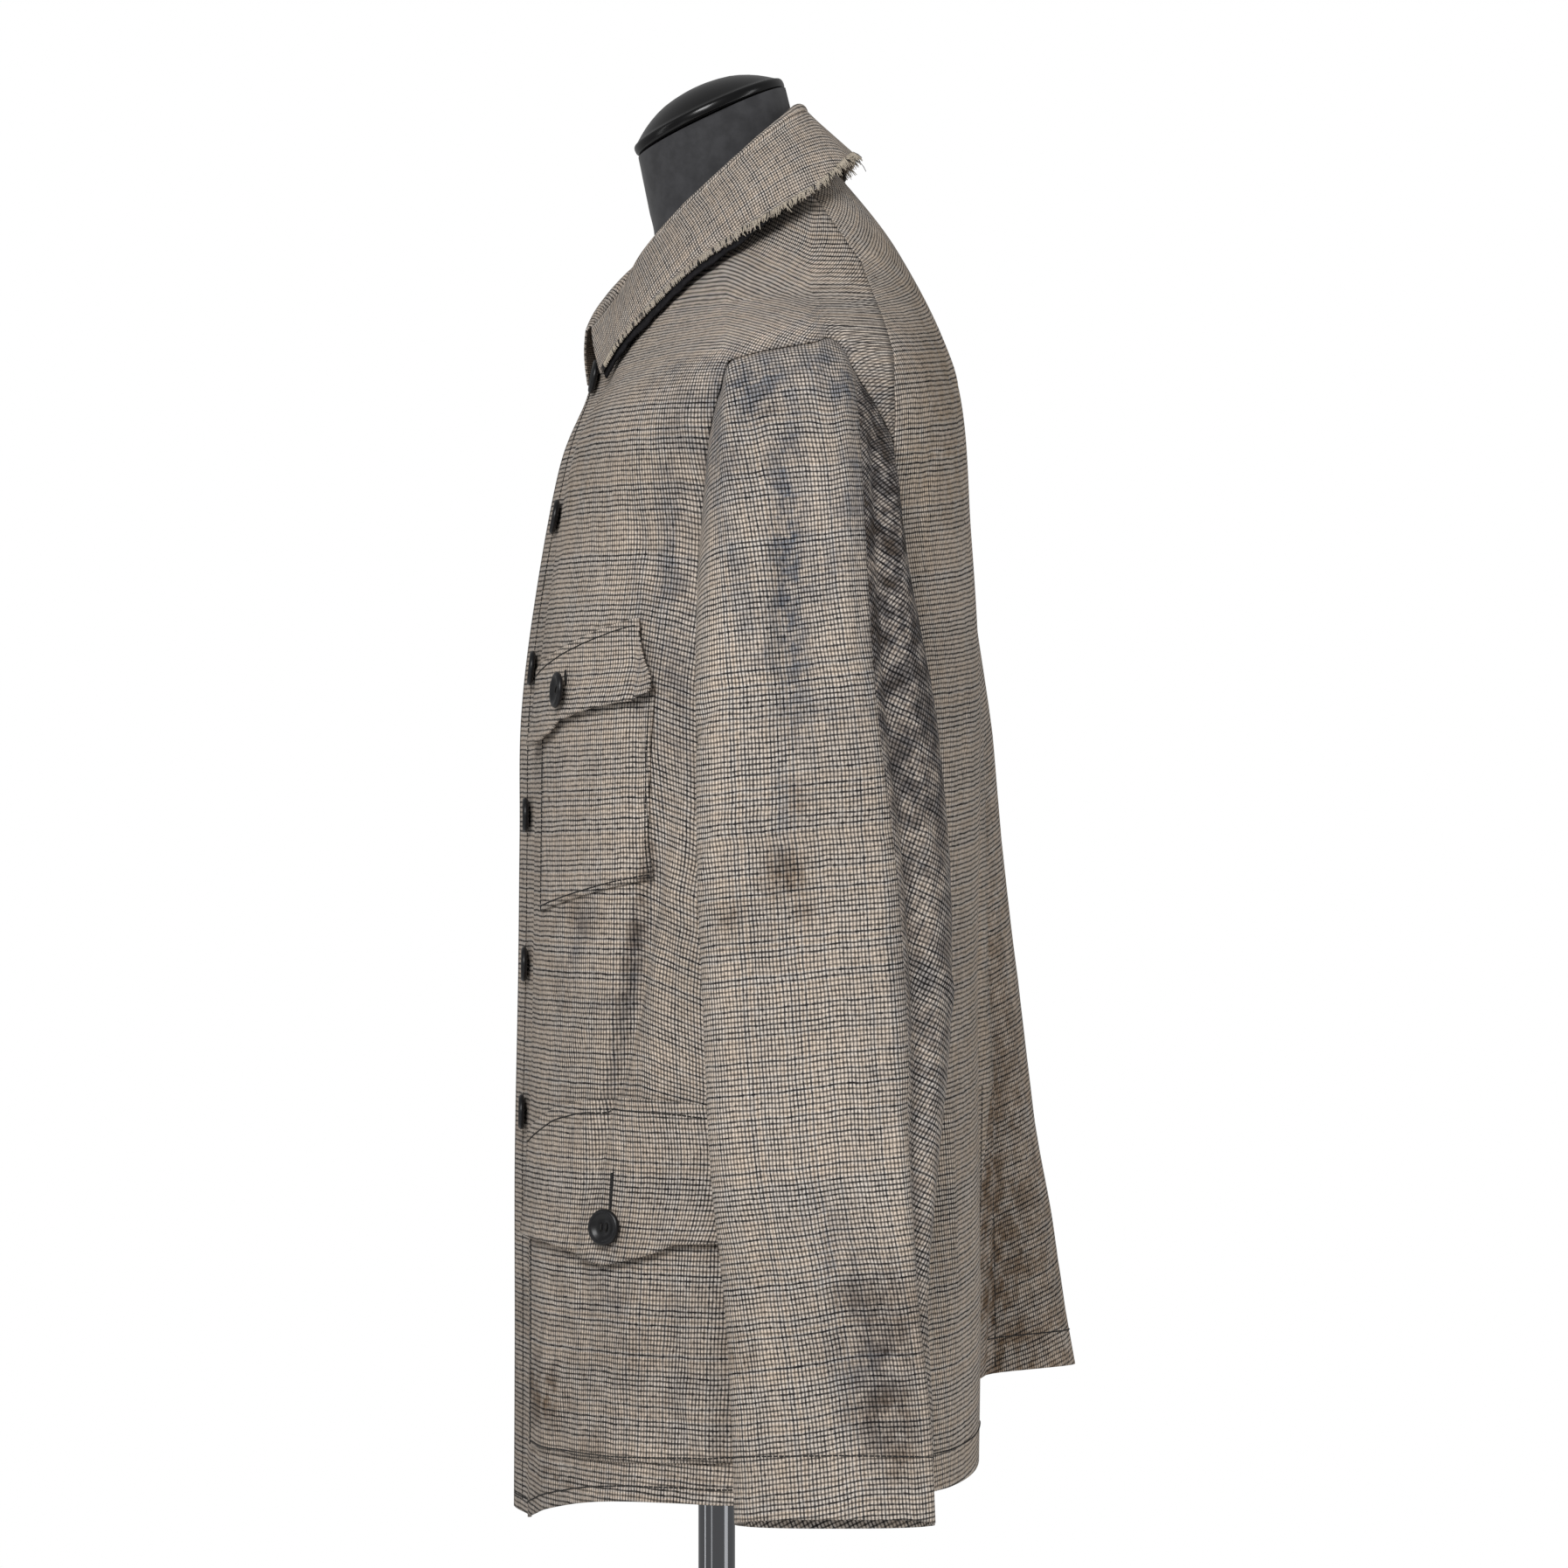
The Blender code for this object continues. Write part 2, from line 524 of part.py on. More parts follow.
def sleeve_ring(side, psi, row):
    """A level ring of the sleeve, by fractional row of its table."""
    at = {name: spline(SLEEVE[name], row) for name in SLEEVE_COLUMNS}
    angle = np.radians(psi)
    cosine, sine = np.cos(angle), np.sin(angle)
    power = 2 / SLEEVE_POWER
    long = -np.sign(cosine) * np.abs(cosine) ** power
    thick = np.sign(sine) * np.abs(sine) ** power
    y = (at["y_front"] + at["y_back"]) / 2 + (at["y_back"] - at["y_front"]) / 2 * long
    x = (at["x_inner"] + at["x_outer"]) / 2 + (at["x_outer"] - at["x_inner"]) / 2 * thick
    x = x - at["skew"] * np.clip(long, 0, 1) ** 2
    z = at["z"] + at["drop"] * thick
    return np.stack((side * x, y, z), axis=-1)


def sleeve(side, psi, row):
    """The sleeve's surface: row 0 is the armhole, 1 the first level ring, then down to the cuff."""
    psi, row = np.broadcast_arrays(np.asarray(psi, dtype=float), np.asarray(row, dtype=float))
    turn = np.mod(psi, 360)
    lean = {name: np.interp(turn, CAP_TABLE["angle"], CAP_TABLE[name]) for name in CAP_COLUMNS}
    leave = np.stack((side * lean["out_x"], lean["out_y"], lean["out_z"]), axis=-1)
    leave /= np.linalg.norm(leave, axis=-1, keepdims=True)
    start = armhole_path(side, psi) + leave * lean["start"][..., None]
    lower = sleeve_ring(side, psi, np.clip(row - 1, 0, len(SLEEVE_ROWS) - 1))
    first = sleeve_ring(side, psi, np.zeros_like(row))
    below = sleeve_ring(side, psi, np.full_like(row, 0.1))
    rise = first - below
    rise /= np.linalg.norm(rise, axis=-1, keepdims=True)
    t = np.clip(row, 0, 1)[..., None]
    a = start
    b = start + leave * lean["leave"][..., None]
    c = first + rise * lean["arrive"][..., None]
    head = a * (1 - t) ** 3 + 3 * b * t * (1 - t) ** 2 + 3 * c * t ** 2 * (1 - t) + first * t ** 3
    point = np.where(row[..., None] <= 1, head, lower)
    across = np.radians(psi)
    push = np.zeros_like(psi)
    for middle, half, depth, low, high in SLEEVE_FOLDS:
        fade = bell(2 * (point[..., 2] - low) / (high - low) - 1)
        push = push + depth * fade * bell((psi - middle) / half)
    point = point + np.stack((side * np.sin(across) * push, -np.cos(across) * push, 0 * push), axis=-1)
    return point


def hindarm(row):
    """The angle of the seam at the back of the sleeve."""
    lower = spline(SLEEVE["seam_angle"], np.clip(row - 1, 0, len(SLEEVE_ROWS) - 1))
    return np.where(row < 1, SEAM_AT_ARMHOLE + (lower - SEAM_AT_ARMHOLE) * np.clip(row, 0, 1), lower)


def slack_at(side, psi, row):
    """The angle that takes half of a seam's gap."""
    apart = np.linalg.norm(sleeve(side, psi + 1, row) - sleeve(side, psi - 1, row), axis=-1) / 2
    return np.minimum(SLEEVE_SLACK / apart, SLEEVE_SLACK_LIMIT)


def sleeve_piece(name, side, upper):
    """The top sleeve or the undersleeve."""
    row = levels_of(SLEEVE_SPANS)
    seam = hindarm(row)
    fore = np.full_like(row, FOREARM_SEAM)
    at_seam = slack_at(side, seam, row)
    at_fore = slack_at(side, fore, row)
    if upper:
        psi = spaced(fore + at_fore, seam - at_seam, TOP_CELLS)
    else:
        psi = spaced(seam + at_seam, fore + 360 - at_fore, UNDER_CELLS)
    points = sleeve(side, psi, np.broadcast_to(row[:, None], psi.shape))
    return sheet(name, points, CHECK, flip=side == LEFT)


def collar_frame(along):
    """Collar values from the left front end (-8) round the back (0) to the right front end (8)."""
    row = len(COLLAR_ROWS) - 1 - np.abs(along)
    at = {name: spline(COLLAR[name], row) for name in COLLAR_COLUMNS}
    side = np.where(along <= 0, 1, -1)
    phi = np.radians(at["angle"])
    neck = np.full_like(phi, float(NECK))
    base = np.where(side[:, None] > 0, section(LEFT, phi, neck), section(RIGHT, phi, neck))
    fold = np.stack((side * at["fold_x"], at["fold_y"], at["fold_z"]), axis=-1)
    edge = np.stack((side * at["edge_x"], at["edge_y"], at["edge_z"]), axis=-1)
    for line in (fold, edge):
        near_front = np.clip((TURN_STARTS - line[:, 1]) / TURN_LENGTH, 0, 1)
        line[:, 1] += near_front * front_turn(line[:, 0])
    tangent = np.gradient(fold, axis=0)
    away = np.stack((tangent[:, 1], -tangent[:, 0], 0 * tangent[:, 2]), axis=-1)
    away /= np.linalg.norm(away, axis=-1, keepdims=True)
    middle = len(along) // 2
    away *= np.sign(away[middle, 1])
    return base, fold, edge, away, at["radius"][:, None], at["bow"][:, None]


def collar_points(along):
    """Neckline, stand, fold and fall."""
    base, fold, edge, away, radius, bow = collar_frame(along)
    up = np.array((0.0, 0.0, 1.0))
    inner = fold - away * radius - up * radius
    outer = fold + away * radius - up * radius
    rise = inner - base
    rise /= np.linalg.norm(rise, axis=-1, keepdims=True)
    foot = base + rise * COLLAR_FOOT
    rows = [foot, (foot + inner) / 2, inner]
    for angle in FOLD_ANGLES:
        turn = math.radians(angle)
        rows.append(fold + radius * (away * math.cos(turn) + up * (math.sin(turn) - 1)))
    for k in range(FALL_STEPS + 1):
        share = k / FALL_STEPS
        rows.append(outer + (edge - outer) * share + (away + up) * bow * math.sin(math.pi * share))
    return np.stack(rows, axis=0)


def under_collar_points(along):
    """The black layer below the fall, a little deeper than it."""
    base, fold, edge, away, radius, bow = collar_frame(along)
    up = np.array((0.0, 0.0, 1.0))
    outer = fold + away * radius - up * radius
    down = edge - outer
    length = np.linalg.norm(down, axis=-1, keepdims=True)
    down = down / length
    tangent = np.gradient(edge, axis=0)
    inward = np.cross(tangent, down)
    inward /= np.linalg.norm(inward, axis=-1, keepdims=True)
    inward *= np.sign(inward[..., 2:3]) * -1
    rows = []
    for k in range(FALL_STEPS + 1):
        share = UNDER_COLLAR_START + (1 - UNDER_COLLAR_START) * k / FALL_STEPS
        reach = length * share + UNDER_COLLAR_DROP * (k / FALL_STEPS)
        bulge = (away + up) * bow * math.sin(math.pi * share)
        rows.append(outer + down * reach + bulge + inward * UNDER_COLLAR_INSET)
    return np.stack(rows, axis=0)


def between(grid, column):
    """A line of a grid at a fractional column."""
    low = min(int(column), grid.shape[1] - 2)
    return grid[:, low] + (grid[:, low + 1] - grid[:, low]) * (column - low)


def stops(low, high):
    """The whole numbers well between two others."""
    return [k for k in range(int(low), int(high) + 2) if low + NARROWEST_CELL < k < high - NARROWEST_CELL]


def pocket(kind, side, heights, higher):
    """A patch or flap made from the front's own points and lines, moved out."""
    row = dict(zip(POCKET_COLUMNS, POCKET_ROWS[kind]))
    level, phi, points = front_grid(side)
    normal = (front_grid(side, PROBE)[2] - points) / PROBE
    places, low, high = [np.array(values) for values in zip(*heights)]
    middle = np.argmin(np.abs(points[:, 0, 2] - (low.mean() + high.mean()) / 2))
    ends = np.interp((row["front"], row["rear"]), np.degrees(phi[middle]), np.arange(phi.shape[1]))
    columns = [ends[0], *stops(*ends), ends[1]]
    lines, reach = [], []
    for column in columns:
        share = (column - ends[0]) / (ends[1] - ends[0])
        line, out = between(points, column), between(normal, column)
        limits = np.interp(share, places, low) + higher, np.interp(share, places, high) + higher
        lines.append((line, out, limits))
        reach.append(np.interp(limits, line[:, 2], np.arange(len(level))))
    inner = stops(max(ends[0] for ends in reach), min(ends[1] for ends in reach))
    grid = []
    for (line, out, limits), ends in zip(lines, reach):
        at = np.array((ends[0], *inner, ends[1]))
        place = np.stack([np.interp(at, np.arange(len(level)), line[:, k]) for k in range(3)], axis=-1)
        away = np.stack([np.interp(at, np.arange(len(level)), out[:, k]) for k in range(3)], axis=-1)
        climb = (place[:, 2:3] - limits[0]) / (limits[1] - limits[0])
        grid.append(place + away * (row["out"] + row["lift"] * (1 - climb) ** 2))
    name = "%s_%s" % (kind, "left" if side == LEFT else "right")
    return sheet(name, np.stack(grid, axis=1), CHECK, flip=side == RIGHT)


def button_place(side, phi, z, out, roll=0.0):
    """A button's frame on the cloth: its axis is the cloth's normal."""
    at = np.array([phi]), np.array([z])
    ring = ring_at(side, *at)
    low = body(side, at[0], ring, np.array([out]))[0]
    high = body(side, at[0], ring, np.array([out + 0.01]))[0]
    normal = (high - low) / np.linalg.norm(high - low)
    beside = np.cross((0.0, 0.0, 1.0), normal)
    beside /= np.linalg.norm(beside)
    above = np.cross(normal, beside)
    place = np.identity(4)
    place[:3, 0], place[:3, 1], place[:3, 2], place[:3, 3] = beside, above, normal, low + SHIFT
    return Matrix(place.tolist()) @ Matrix.Rotation(roll, 4, "X")


def build_form():
    """Torso with its neck, the tilted cap, the pole and the base."""
    turn = np.linspace(0, 2 * math.pi, FORM_AROUND, endpoint=False)
    rings = []
    for k in range(len(FORM_ROWS)):
        row = {name: FORM[name][k] for name in FORM_COLUMNS}
        power = 2 / FORM_POWER
        long = -np.sign(np.cos(turn)) * np.abs(np.cos(turn)) ** power
        wide = np.sign(np.sin(turn)) * np.abs(np.sin(turn)) ** power
        middle = (row["y_front"] + row["y_back"]) / 2
        y = middle + (row["y_back"] - row["y_front"]) / 2 * long
        share = (y - row["y_front"]) / (row["y_back"] - row["y_front"])
        z = row["z_front"] + (row["z_back"] - row["z_front"]) * share
        rings.append(np.stack((row["half_width"] * wide, y, z), axis=-1))
    loft("form_torso", rings, FORM_CLOTH)
    middle = Matrix.Translation((CAP_CENTRE[0], CAP_CENTRE[1] + SHIFT[1], CAP_CENTRE[2]))
    turned("form_neck_cap", CAP_PROFILE, GLOSS, CAP_STEPS, middle @ Matrix.Rotation(CAP_TILT, 4, "X"))
    top = FORM_ROWS[0][0] - SEAT_GAP
    foot = BASE_PROFILE[0][1] + SEAT_GAP
    pole = ((0.0, top), (POLE_RADIUS, top), (POLE_RADIUS, foot), (0.0, foot))
    turned("stand_pole", pole, CHROME, POLE_STEPS, Matrix.Identity(4))
    turned("stand_base", BASE_PROFILE, PAINT, BASE_STEPS, Matrix.Identity(4))


def build_cloth():
    """Every cut piece of the jacket."""
    front_panel("front_left", LEFT)
    front_panel("front_right", RIGHT)
    back_panel("back_left", LEFT)
    back_panel("back_right", RIGHT)
    sleeve_piece("sleeve_left_top", LEFT, True)
    sleeve_piece("sleeve_left_under", LEFT, False)
    sleeve_piece("sleeve_right_top", RIGHT, True)
    sleeve_piece("sleeve_right_under", RIGHT, False)
    along = np.linspace(-8, 8, COLLAR_STATIONS + 1)
    sheet("collar", collar_points(along), CHECK)
    sheet("under_collar", under_collar_points(along), BLACK_CLOTH)
    for side in (LEFT, RIGHT):
        chest = RIGHT_CHEST_LIFT if side == RIGHT else 0.0
        low = RIGHT_LOWER_LIFT if side == RIGHT else 0.0
        pocket("chest_pocket", side, CHEST_POCKET, chest)
        pocket("chest_flap", side, CHEST_FLAP, chest)
        pocket("lower_pocket", side, LOWER_POCKET, low)
        pocket("lower_flap", side, LOWER_FLAP, low)


def build_buttons():
    """Six on the front edge and one on each flap."""
    for number, z in enumerate(FRONT_BUTTON_Z, 1):
        phi = float(angle_of_x(np.array(3.0), np.array(FRONT_BUTTON_X)))
        place = button_place(LEFT, phi, z, CLOTH / 2 + BUTTON_STANDOFF)
        turned("front_button_%d" % number, BUTTON_PROFILE, HORN, TURN_STEPS, place)
    for side, word in ((LEFT, "left"), (RIGHT, "right")):
        for kind, higher in (("chest", RIGHT_CHEST_LIFT), ("lower", RIGHT_LOWER_LIFT)):
            angle, z, lifted = FLAP_BUTTONS[kind]
            z = z + (higher if side == RIGHT else 0.0)
            stand = POCKET_ROWS[kind + "_flap"][POCKET_COLUMNS.index("out")] + lifted
            place = button_place(side, math.radians(angle), z, stand + CLOTH / 2 + BUTTON_STANDOFF)
            turned("%s_button_%s" % (kind, word), BUTTON_PROFILE, HORN, TURN_STEPS, place)


for old in list(bpy.data.objects):
    bpy.data.objects.remove(old, do_unlink=True)
PART = bpy.data.collections.new("hunting_jacket_on_a_dress_form")
bpy.context.scene.collection.children.link(PART)
build_cloth()
build_buttons()
build_form()
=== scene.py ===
"""A worn hunting jacket in a small check, shown on a limbless dress form.

Metres, +Z up, the jacket faces -Y and the wearer's left is +X. Each cut piece of cloth is a thin shell on
the form of its solid, with its seams closed, and its check follows the piece's own length and width.
"""
import math
import random
from functools import partial

import bmesh
import bpy
import numpy as np
from mathutils import Matrix, Vector


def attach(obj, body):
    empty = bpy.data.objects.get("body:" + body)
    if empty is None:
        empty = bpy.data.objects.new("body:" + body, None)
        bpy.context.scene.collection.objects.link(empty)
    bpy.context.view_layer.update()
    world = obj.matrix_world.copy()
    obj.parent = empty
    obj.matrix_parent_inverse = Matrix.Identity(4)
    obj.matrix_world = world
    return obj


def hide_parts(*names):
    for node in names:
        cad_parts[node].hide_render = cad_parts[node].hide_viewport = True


bl_info = {
    "name": "Checked hunting jacket on a dress form",
    "version": (1, 0, 0),
    "blender": (4, 5, 0),
    "location": "View3D > Sidebar > Jacket",
    "description": "Builds a worn hunting jacket, piece by piece, on its dress form",
    "category": "Add Mesh",
}

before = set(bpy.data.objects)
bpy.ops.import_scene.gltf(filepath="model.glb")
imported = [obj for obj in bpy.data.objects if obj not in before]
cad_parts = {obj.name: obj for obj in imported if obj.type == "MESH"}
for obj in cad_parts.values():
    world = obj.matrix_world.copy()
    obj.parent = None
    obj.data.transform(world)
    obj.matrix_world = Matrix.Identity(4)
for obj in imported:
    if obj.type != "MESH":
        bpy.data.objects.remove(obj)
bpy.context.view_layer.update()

# Sizes in metres, angles in degrees. A table's *_COLUMNS name its columns.
LEFT = 1
RIGHT = -1
SIDES = ((LEFT, "left"), (RIGHT, "right"))
WORD = dict(SIDES)
CLOTH = 0.0016
SHIFT = np.array((0.0, 0.0416, 0.0))
UP = np.array((0.0, 0.0, 1.0))
CHECK = "worn linen and cotton check"

# The right front goes under the left one: how wide the lap is, how deep it lies, where it starts, how softly
LAP = 0.020
LAP_INSET = 0.0034
LAP_STARTS = -0.070
LAP_EASE = 0.040
# the middle of the front is turned to the wearer's left: how much, and over what width
FRONT_TURN = 0.30
FRONT_TURN_REACH = 0.05

# Rings of the body, from the hem (0) to the neckline (9)
BODY_COLUMNS = ("z_front", "z_side", "z_back", "half_width", "y_front", "y_back", "y_side",
                "n_front", "n_back", "right_lift", "ease")
BODY_ROWS = (
    (0.704, 0.736, 0.741, 0.232, -0.1625, 0.1190, 0.010, 2.3, 2.6, 0.045, 5.0),
    (0.810, 0.824, 0.828, 0.228, -0.1620, 0.1200, 0.010, 2.3, 2.6, 0.028, 3.5),
    (0.920, 0.925, 0.930, 0.222, -0.1620, 0.1190, 0.010, 2.3, 2.6, 0.012, 2.0),
    (1.030, 1.035, 1.040, 0.218, -0.160, 0.1180, 0.010, 2.3, 2.6, 0.003, 1.4),
    (1.120, 1.125, 1.130, 0.216, -0.159, 0.1195, 0.008, 2.3, 2.6, 0.0, 1.4),
    (1.195, 1.212, 1.215, 0.217, -0.158, 0.1195, 0.005, 2.3, 2.6, 0.0, 1.4),
    (1.270, 1.300, 1.305, 0.213, -0.149, 0.1145, 0.005, 2.3, 2.5, 0.0, 1.4),
    (1.350, 1.405, 1.400, 0.229, -0.134, 0.1055, 0.003, 2.2, 2.4, 0.0, 1.4),
    (1.392, 1.447, 1.480, 0.146, -0.118, 0.0700, -0.008, 2.0, 2.2, 0.0, 1.4),
    (1.420, 1.489, 1.537, 0.070, -0.1125, 0.0260, -0.028, 2.0, 2.0, 0.0, 1.4),
)
UNDERARM = 5
CAP = 7
NECK = 9
BACK_EASE = 1.4
RIGHT_LIFT_AT_SIDE = 0.55
# a ring's number is compared with this much to spare, and a normal is measured over this step
NUDGE = 0.01
STEP = 0.001

# Where the armhole, side seam and shoulder seam cross the rings
EDGE_COLUMNS = ("ring", "front_armhole_y", "back_armhole_y", "side_seam_y")
EDGE_ROWS = (
    (0.0, -0.030, 0.050, 0.030),
    (4.0, -0.028, 0.048, 0.030),
    (5.0, -0.020, 0.036, 0.030),
    (5.4, -0.040, 0.054, 0.030),
    (6.0, -0.048, 0.062, 0.030),
    (6.6, -0.043, 0.064, 0.030),
    (7.0, -0.032, 0.0637, 0.030),
    (8.0, -0.030, 0.0460, 0.030),
    (9.0, -0.045, 0.0080, 0.030),
)
# ring, and half of a seam's gap between fronts and backs in radians round the body
SLACK_ROWS = ((0.0, 0.00297), (7.0, 0.00297), (8.0, 0.00419), (9.0, 0.00873))
# lines of cells across a front and a back: to the armhole line, and behind it
FRONT_CELLS = (12, 4)
BACK_CELLS = (8, 2)
# rings that a pocket's place is measured on: from, to, how many
BODY_SPANS = ((0.0, 5.0, 12), (5.0, 7.0, 6), (7.0, 9.0, 5))

# Folds of the back: how far it stands out, by height
BACK_FOLDS = (
    # side, x of the crest, reach towards the seam, reach towards the side, ((z, depth), ...)
    (LEFT, 0.0, 0.035, 0.035, ((0.73, -0.012), (0.80, -0.009), (0.88, -0.001), (0.91, 0.004),
                               (0.97, 0.0105), (1.10, 0.006), (1.25, 0.0))),
    (RIGHT, 0.0, 0.035, 0.035, ((0.77, 0.002), (0.80, 0.004), (0.90, 0.009), (0.97, 0.0105),
                                (1.10, 0.006), (1.25, 0.0))),
    (RIGHT, -0.100, 0.100, 0.122, ((0.78, 0.071), (0.851, 0.057), (0.94, 0.0445), (1.029, 0.035),
                                   (1.118, 0.023), (1.185, 0.0163), (1.25, 0.007), (1.36, 0.0))),
)

# Folds of the fronts and sides, troughs negative: side, angle at the low and at the high ring, half angle,
# depth, low ring, high ring
FOLD_ROWS = (
    (LEFT, 53.0, 64.0, 7.0, -0.0050, 1.5, 4.6),
    (LEFT, 30.0, 34.0, 8.0, 0.0030, -0.6, 1.6),
    (LEFT, 76.0, 74.0, 7.0, 0.0035, -0.6, 3.0),
    (LEFT, 108.0, 112.0, 9.0, 0.0040, -0.6, 4.2),
    (LEFT, 131.0, 128.0, 8.0, -0.0040, -0.6, 4.6),
    (RIGHT, 50.0, 60.0, 7.0, -0.0045, 1.2, 4.3),
    (RIGHT, 27.0, 31.0, 8.0, 0.0028, -0.6, 1.4),
    (RIGHT, 79.0, 75.0, 8.0, 0.0032, -0.6, 2.7),
)

# Rings of a sleeve below the cap, by height
SLEEVE_COLUMNS = ("z", "y_front", "y_back", "seam_angle", "x_inner", "x_outer", "skew", "drop")
SLEEVE_ROWS = (
    (1.180, -0.0497, 0.0880, 115.0, 0.241, 0.305, 0.012, 0.000),
    (1.100, -0.0487, 0.0950, 119.0, 0.242, 0.308, 0.018, 0.000),
    (1.010, -0.0450, 0.0945, 125.0, 0.243, 0.309, 0.016, 0.000),
    (0.930, -0.0410, 0.0870, 134.0, 0.244, 0.308, 0.010, 0.000),
    (0.860, -0.0336, 0.0815, 150.0, 0.245, 0.305, 0.004, 0.002),
    (0.795, -0.0296, 0.0845, 162.0, 0.246, 0.302, 0.001, 0.004),
    (0.731, -0.0276, 0.0865, 168.0, 0.247, 0.300, 0.000, 0.006),
)
SLEEVE_POWER = 2.5
CUFF = 7.0
SEAM_AT_ARMHOLE = 106.0
FOREARM_SEAM = -28.0
ARMHOLE_STEPS = 48
# the seam at the top of the sleeve: share of the way from the front's armhole line to the shoulder seam,
# and height over ring 7
CAP_SEAM = (
    (0.0, 0.0), (0.08, 0.0), (0.24, 0.0005), (0.43, 0.0040), (0.51, 0.0080), (0.58, 0.0045), (0.67, -0.0110),
    (0.80, -0.0250), (0.91, -0.0380), (1.0, -0.0500),
)
# the sleeve starts a little inside the seam, and its allowance lies under the panels
CAP_INSIDE = 0.985
CAP_STARTS = 0.0006
ALLOWANCE = ((1.10, -0.0026), (0.975, -0.0024))

# How the sleeve leaves the armhole and reaches its first ring: front, top, back, under the arm
CAP_COLUMNS = ("angle", "out_x", "out_y", "out_z", "leave", "arrive")
CAP_ROWS = (
    (0.0, 1.0, -0.10, -0.25, 0.030, 0.050),
    (90.0, 1.0, 0.00, -0.30, 0.045, 0.095),
    (180.0, 1.0, 0.25, -0.30, 0.032, 0.050),
    (270.0, 0.9, 0.00, -0.35, 0.008, 0.012),
    (360.0, 1.0, -0.10, -0.25, 0.030, 0.050),
)
# Folds of a sleeve: angle, half angle, depth, low z, high z
SLEEVE_FOLDS = (
    (79.0, 12.0, -0.0085, 1.12, 1.41),
    (96.0, 11.0, 0.0078, 1.06, 1.43),
    (62.0, 14.0, -0.0030, 0.80, 1.05),
)

# Collar, from the front end (0) to the middle of the back (8), on the wearer's left
COLLAR_COLUMNS = ("angle", "fold_x", "fold_y", "fold_z", "edge_x", "edge_y", "edge_z", "radius", "bow")
COLLAR_ROWS = (
    (5.0, 0.006, -0.1178, 1.436, 0.049, -0.1172, 1.403, 0.0030, 0.0014),
    (24.0, 0.031, -0.1042, 1.456, 0.076, -0.1020, 1.419, 0.0034, 0.0016),
    (44.0, 0.048, -0.0885, 1.478, 0.092, -0.0820, 1.438, 0.0040, 0.0022),
    (62.0, 0.059, -0.0650, 1.501, 0.102, -0.0580, 1.460, 0.0042, 0.0022),
    (82.0, 0.064, -0.0390, 1.525, 0.105, -0.0320, 1.479, 0.0042, 0.0020),
    (104.0, 0.061, -0.0150, 1.547, 0.099, -0.0040, 1.497, 0.0042, 0.0016),
    (128.0, 0.046, 0.0020, 1.562, 0.080, 0.0205, 1.514, 0.0042, 0.0010),
    (154.0, 0.024, 0.0085, 1.570, 0.045, 0.0375, 1.532, 0.0042, 0.0005),
    (180.0, 0.000, 0.0100, 1.572, 0.000, 0.0445, 1.541, 0.0042, 0.0),
)
COLLAR_FOOT = 0.0022
FOLD_ANGLES = (160.0, 140.0, 120.0, 100.0, 80.0, 60.0, 40.0, 20.0)
FALL_STEPS = 26
STAND_STEPS = 8
# where the collar starts to take the front's turn, going forward, and over what length
TURN_STARTS = -0.060
TURN_LENGTH = 0.040
# how far it shows below the fall, by position from the middle of the back (0) to the front end (8)
UNDER_COLLAR_DROP = (
    (0.0, -0.0040), (2.5, -0.0035), (3.2, 0.0010), (4.0, 0.0040), (6.0, 0.0046), (8.0, 0.0034),
)
UNDER_COLLAR_INSET = 0.0030
UNDER_COLLAR_START = 0.36
# the felt stops this many cells short of the right front end
FELT_SHORT = 20
# how ragged the fall's edge is, by position as above
COLLAR_RAGGED = ((0.0, 0.0022), (4.5, 0.0022), (6.0, 0.0006), (8.0, 0.0006))

# Patch pockets and flaps: share of the width from the front edge, height of the bottom and of the top
POCKET_HEIGHTS = {
    "chest_pocket": ((0.0, 1.0765, 1.2080), (0.5, 1.0870, 1.2230), (1.0, 1.0975, 1.2400)),
    "chest_flap": (
        (0.0, 1.1760, 1.2210), (0.20, 1.1780, 1.2280), (0.30, 1.1830, 1.2310), (0.36, 1.1900, 1.2330),
        (0.60, 1.1970, 1.2400), (0.86, 1.2020, 1.2470), (0.94, 1.2045, 1.2488), (0.98, 1.2085, 1.2497),
        (1.0, 1.2150, 1.2500),
    ),
    "lower_pocket": ((0.0, 0.7560, 0.9330), (0.5, 0.7570, 0.9560), (1.0, 0.7620, 0.9500)),
    "lower_flap": (
        (0.0, 0.8830, 0.9440), (0.22, 0.8810, 0.9610), (0.34, 0.8770, 0.9660), (0.47, 0.8705, 0.9690),
        (0.60, 0.8770, 0.9690), (0.72, 0.8855, 0.9680), (0.86, 0.8870, 0.9650), (1.0, 0.8820, 0.9620),
    ),
}
# front edge and rear edge in degrees round the body
POCKET_ENDS = {
    "chest_pocket": (27.0, 63.0), "chest_flap": (21.0, 61.5),
    "lower_pocket": (22.0, 84.0), "lower_flap": (21.0, 85.0),
}
# distance out, lift of the free edge, lift of the rear edge
DRAPE = {
    "chest_pocket": (0.0018, 0.0, 0.0),
    "chest_flap": (0.0036, 0.0040, 0.0030),
    "lower_pocket": (0.0018, 0.0, 0.0),
    "lower_flap": (0.0036, 0.0040, 0.0022),
}
# how the rear edge's lift gathers at the edge, and how much of it is gone at the top
REAR_POWER = 6
REAR_FADE = 0.7
# how much higher the pockets of the wearer's right hang
RIGHT_LIFT = {"chest": 0.004, "lower": 0.018}
# the chest flap's front corner is torn: where, how far to each side, and how deep as a share of its height
TORN_AT = 0.24
TORN_REACH = 0.09
TORN = 0.10

# Buttons
FRONT_BUTTON_Z = (1.404, 1.317, 1.224, 1.134, 1.042, 0.951)
FRONT_BUTTON_X = 0.012
